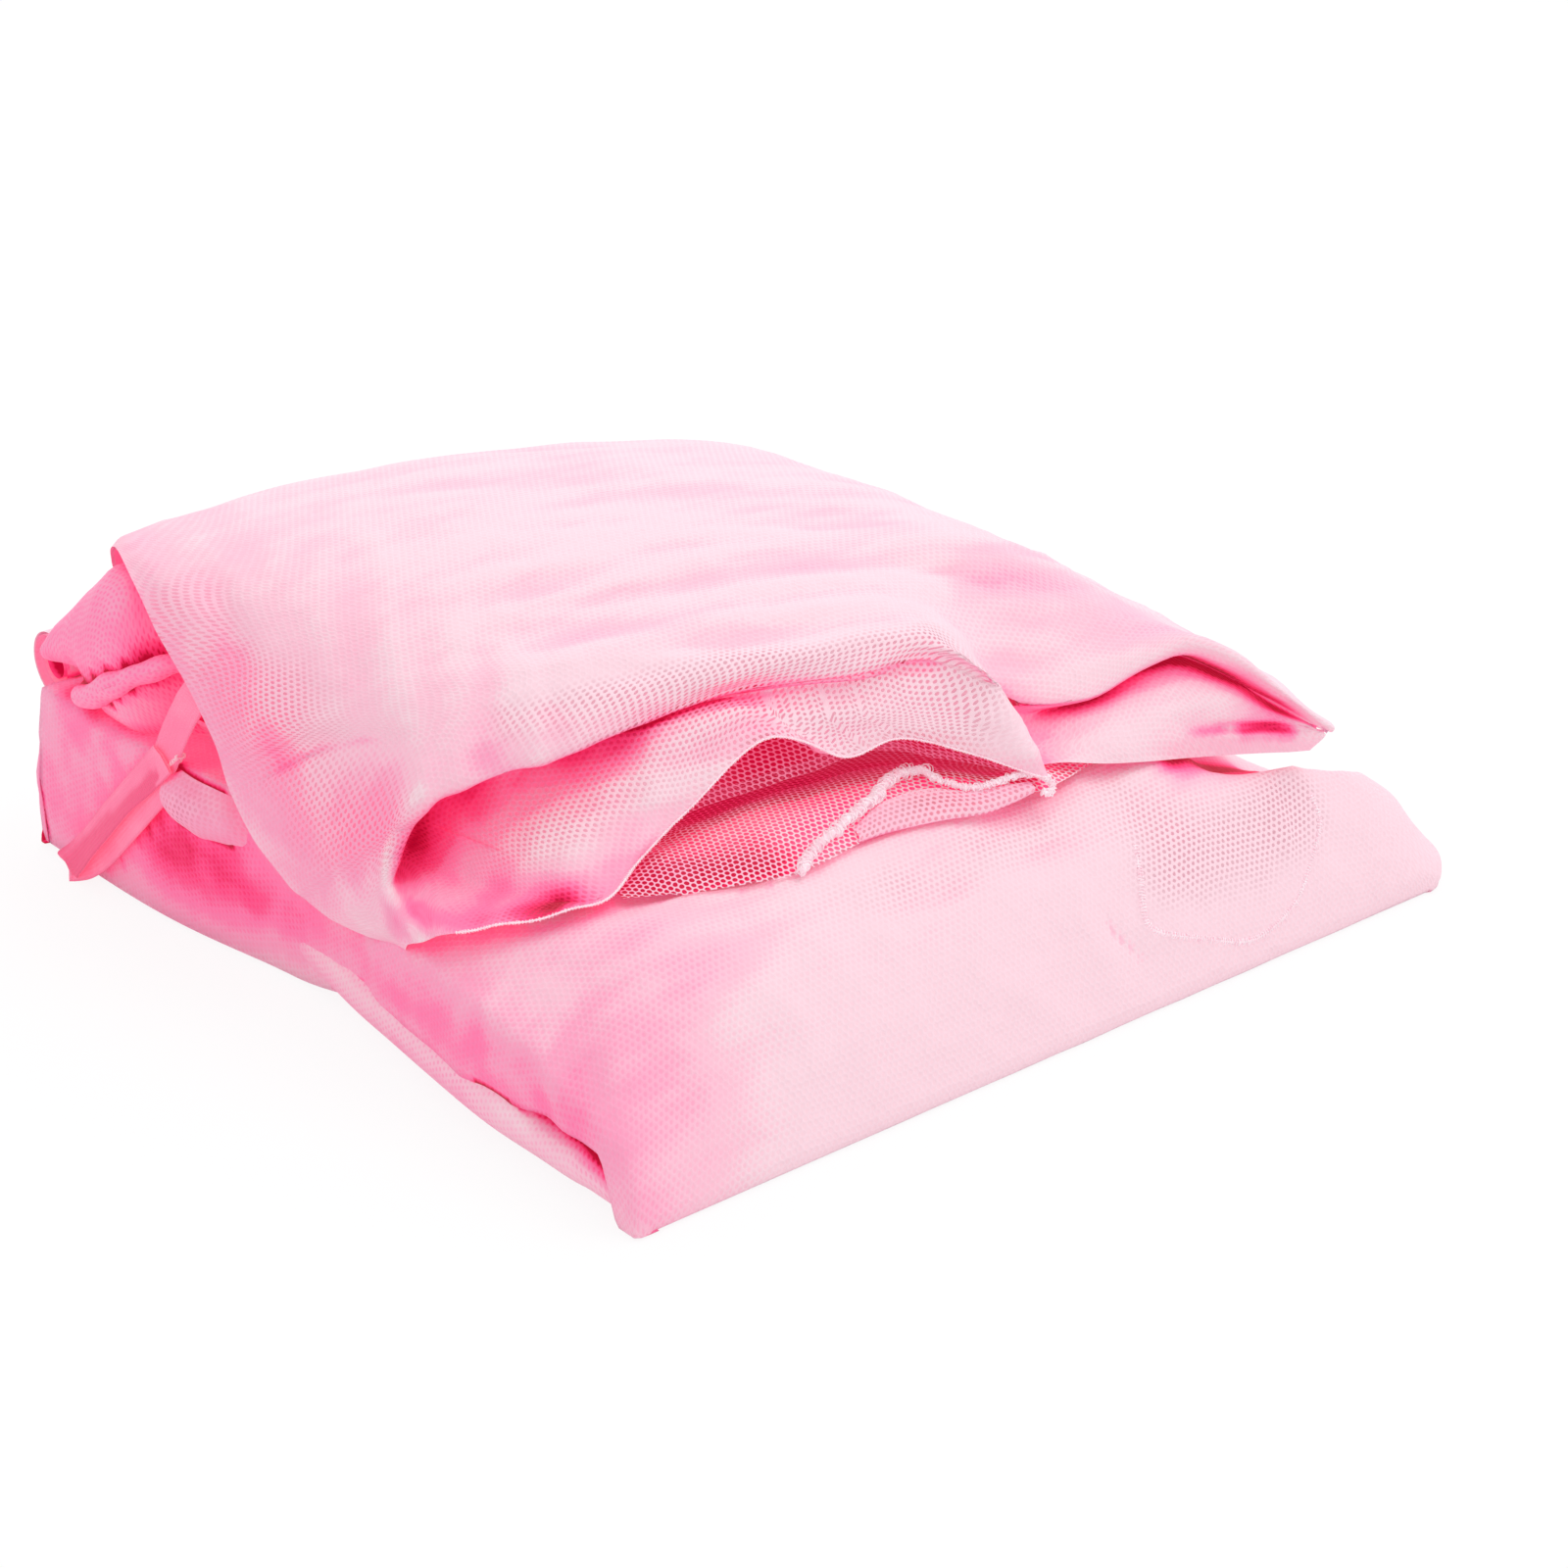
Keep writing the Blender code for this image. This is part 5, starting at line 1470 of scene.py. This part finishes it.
twist_route = [(-129, 105, 53), (-135, 99, 53), (-138.5, 91, 54.5), (-138, 83, 59), (-136, 75, 64),
               (-131, 66, 69), (-122, 54, 73)]
twist_grid = rumple(tube_grid(twist_route, [0.8, 2.4, 3.2, 3.4, 3.0, 3.0, 2.0], 72, 44), 1.3, 8, 61)
twist = lay("roof_panel_twist", twist_grid, rolled_net, "upper_bundle")
twist.painted["depth"] += 0.2
bulge_rails = [
    [(-128, 66, 43), (-133, 58, 45.5), (-134, 48, 45.5), (-132, 38, 44.5), (-127, 28, 42)],
    [(-129, 66, 40), (-137.5, 58, 41.5), (-138.5, 48, 41.5), (-135, 36, 40), (-127, 26, 38)],
    [(-129, 64, 34), (-138, 56, 35.5), (-139, 46, 35.5), (-135, 35, 34.5), (-127, 25, 33)],
    [(-128, 62, 29), (-133, 55, 29.5), (-134, 45, 29.5), (-131, 34, 29), (-126, 26, 29)]]
bulge_grid = rumple(loft(bulge_rails, 46, 30)[::-1], 1.0, 7, 71)
bulge = lay("far_side_curtain_bulge", bulge_grid, outer_net, "lower_bundle")
bulge.painted["depth"] += 0.3
bulge.painted["airy"] += 0.25

# %% [markdown]
# ## Depth and painted shade
#
# How deep a point lies in the folds is measured once, at rest: rays leave each vertex over its outer side,
# and the share that soon meets other cloth is its depth. This occlusion is painted into the colour as shade.
# Cloth on another body counts for less, because it moves away when the bundle is opened, and least where the
# two packs press on each other.

# %% Measure the depth, the painted shade, of every cloth
shade_rays = 24
shade_reach = 42 * MM
ray_start = 1.2 * MM
other_body_share = 0.45


def hemisphere(count):
    """Directions spread over the upper half, more of them near the middle, the same ones each time."""
    golden = math.pi * (3 - math.sqrt(5))
    spots = []
    for index in range(count):
        radius = math.sqrt((index + 0.5) / count)
        turn = index * golden
        height = math.sqrt(1 - radius * radius)
        spots.append(Vector((radius * math.cos(turn), radius * math.sin(turn), height)))
    return spots


def cloth_tree():
    """Search tree over all outer cloths, with the body of each of its faces."""
    vertices, faces, bodies = [], [], []
    for cloth in cloths:
        if cloth.under is None:
            start = len(vertices)
            vertices += [vert.co.copy() for vert in cloth.piece.data.vertices]
            faces += [[start + index for index in face.vertices] for face in cloth.piece.data.polygons]
            bodies += [cloth.body] * len(cloth.piece.data.polygons)
    return BVHTree.FromPolygons(vertices, faces), bodies


def ray_shade(cloth, tree, bodies, rays):
    """Depth of each vertex of a cloth: its occlusion, which is painted in as shade."""
    depths = []
    for vert in cloth.piece.data.vertices:
        turn = Vector((0, 0, 1)).rotation_difference(vert.normal).to_matrix()
        start = vert.co + vert.normal * ray_start
        own, other = 0.0, 0.0
        for ray in rays:
            hit = tree.ray_cast(start, turn @ ray, shade_reach)
            if hit[3] is not None:
                closeness = (1 - hit[3] / shade_reach) / len(rays)
                if bodies[hit[2]] == cloth.body:
                    own += closeness
                else:
                    other += closeness
        pressed = smooth_step((other - 0.68) / 0.2)
        depths.append(own + other * other_body_share * (1 - 0.65 * pressed))
    return np.array(depths)


def store_values(cloth):
    """Write the painted values to the mesh."""
    for value, amounts in cloth.painted.items():
        layer = cloth.piece.data.attributes.new(value, "FLOAT", "POINT")
        layer.data.foreach_set("value", amounts.ravel())


tree, face_bodies = cloth_tree()
rays = hemisphere(shade_rays)
for cloth in cloths:
    if cloth.under is None:
        cloth.painted["depth"] += ray_shade(cloth, tree, face_bodies, rays).reshape(cloth.grid.shape[:2])
for cloth in cloths:
    if cloth.under is not None:
        cloth.painted["depth"] = cloth.under.painted["depth"][cloth.skip:]
    store_values(cloth)
    low_depth, high_depth = cloth.painted["depth"].min(), cloth.painted["depth"].max()
    print(cloth.piece.name, "depth from", round(float(low_depth), 2), "to", round(float(high_depth), 2))

# %% [markdown]
# ## Bodies
#
# Most pieces ride on their body, an empty they are parented to. The flap's pieces, the back fold's cover and
# inner side and the hanging loop only have their place baked into their mesh. The frame's nodes that the
# pieces stand for are hidden.

# %% Ride and replace
for cloth in cloths:
    if cloth.body == "top_flap":
        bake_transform(cloth.piece)
    elif cloth.body == "back fold":
        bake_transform(cloth.piece)
    elif cloth.body == "sewn loop":
        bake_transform(cloth.piece)
    elif cloth.body == "inner fold":
        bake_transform(cloth.piece)
    else:
        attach(cloth.piece, cloth.body)

hem_bodies = {hem_left: "top_flap", hem_right_rise: "upper_bundle", hem_right_curl: "upper_bundle",
              bottom_hem: "lower_bundle"}
hem_bodies.update({tack: "lower_bundle" for tack in tacks.values()})
for hem, body in hem_bodies.items():
    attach(hem, body)

replaced = {
    far_side.piece: "far_side_curtain", head.piece: "head_curtain", foot.piece: "foot_curtain",
    bottom_hem: "bottom_hem", seam.piece: "roof_seam", roof.piece: "roof_panel",
    door_right.piece: "door_curtain_right", hem_right_rise: "door_hem_right",
    door_left.piece: "door_curtain_left", hem_left: "door_hem_left", hanging_loop.piece: "corner_loop_1"}
replaced.update({loop.piece: f"corner_loop_{number}" for number, loop in tucked_loops.items()})
replaced.update({tack: f"bar_tack_{number}" for number, tack in tacks.items()})
for piece, node in replaced.items():
    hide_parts(node)
print(len(cloths) + len(hem_bodies), "pieces stand for", len(replaced), "nodes")
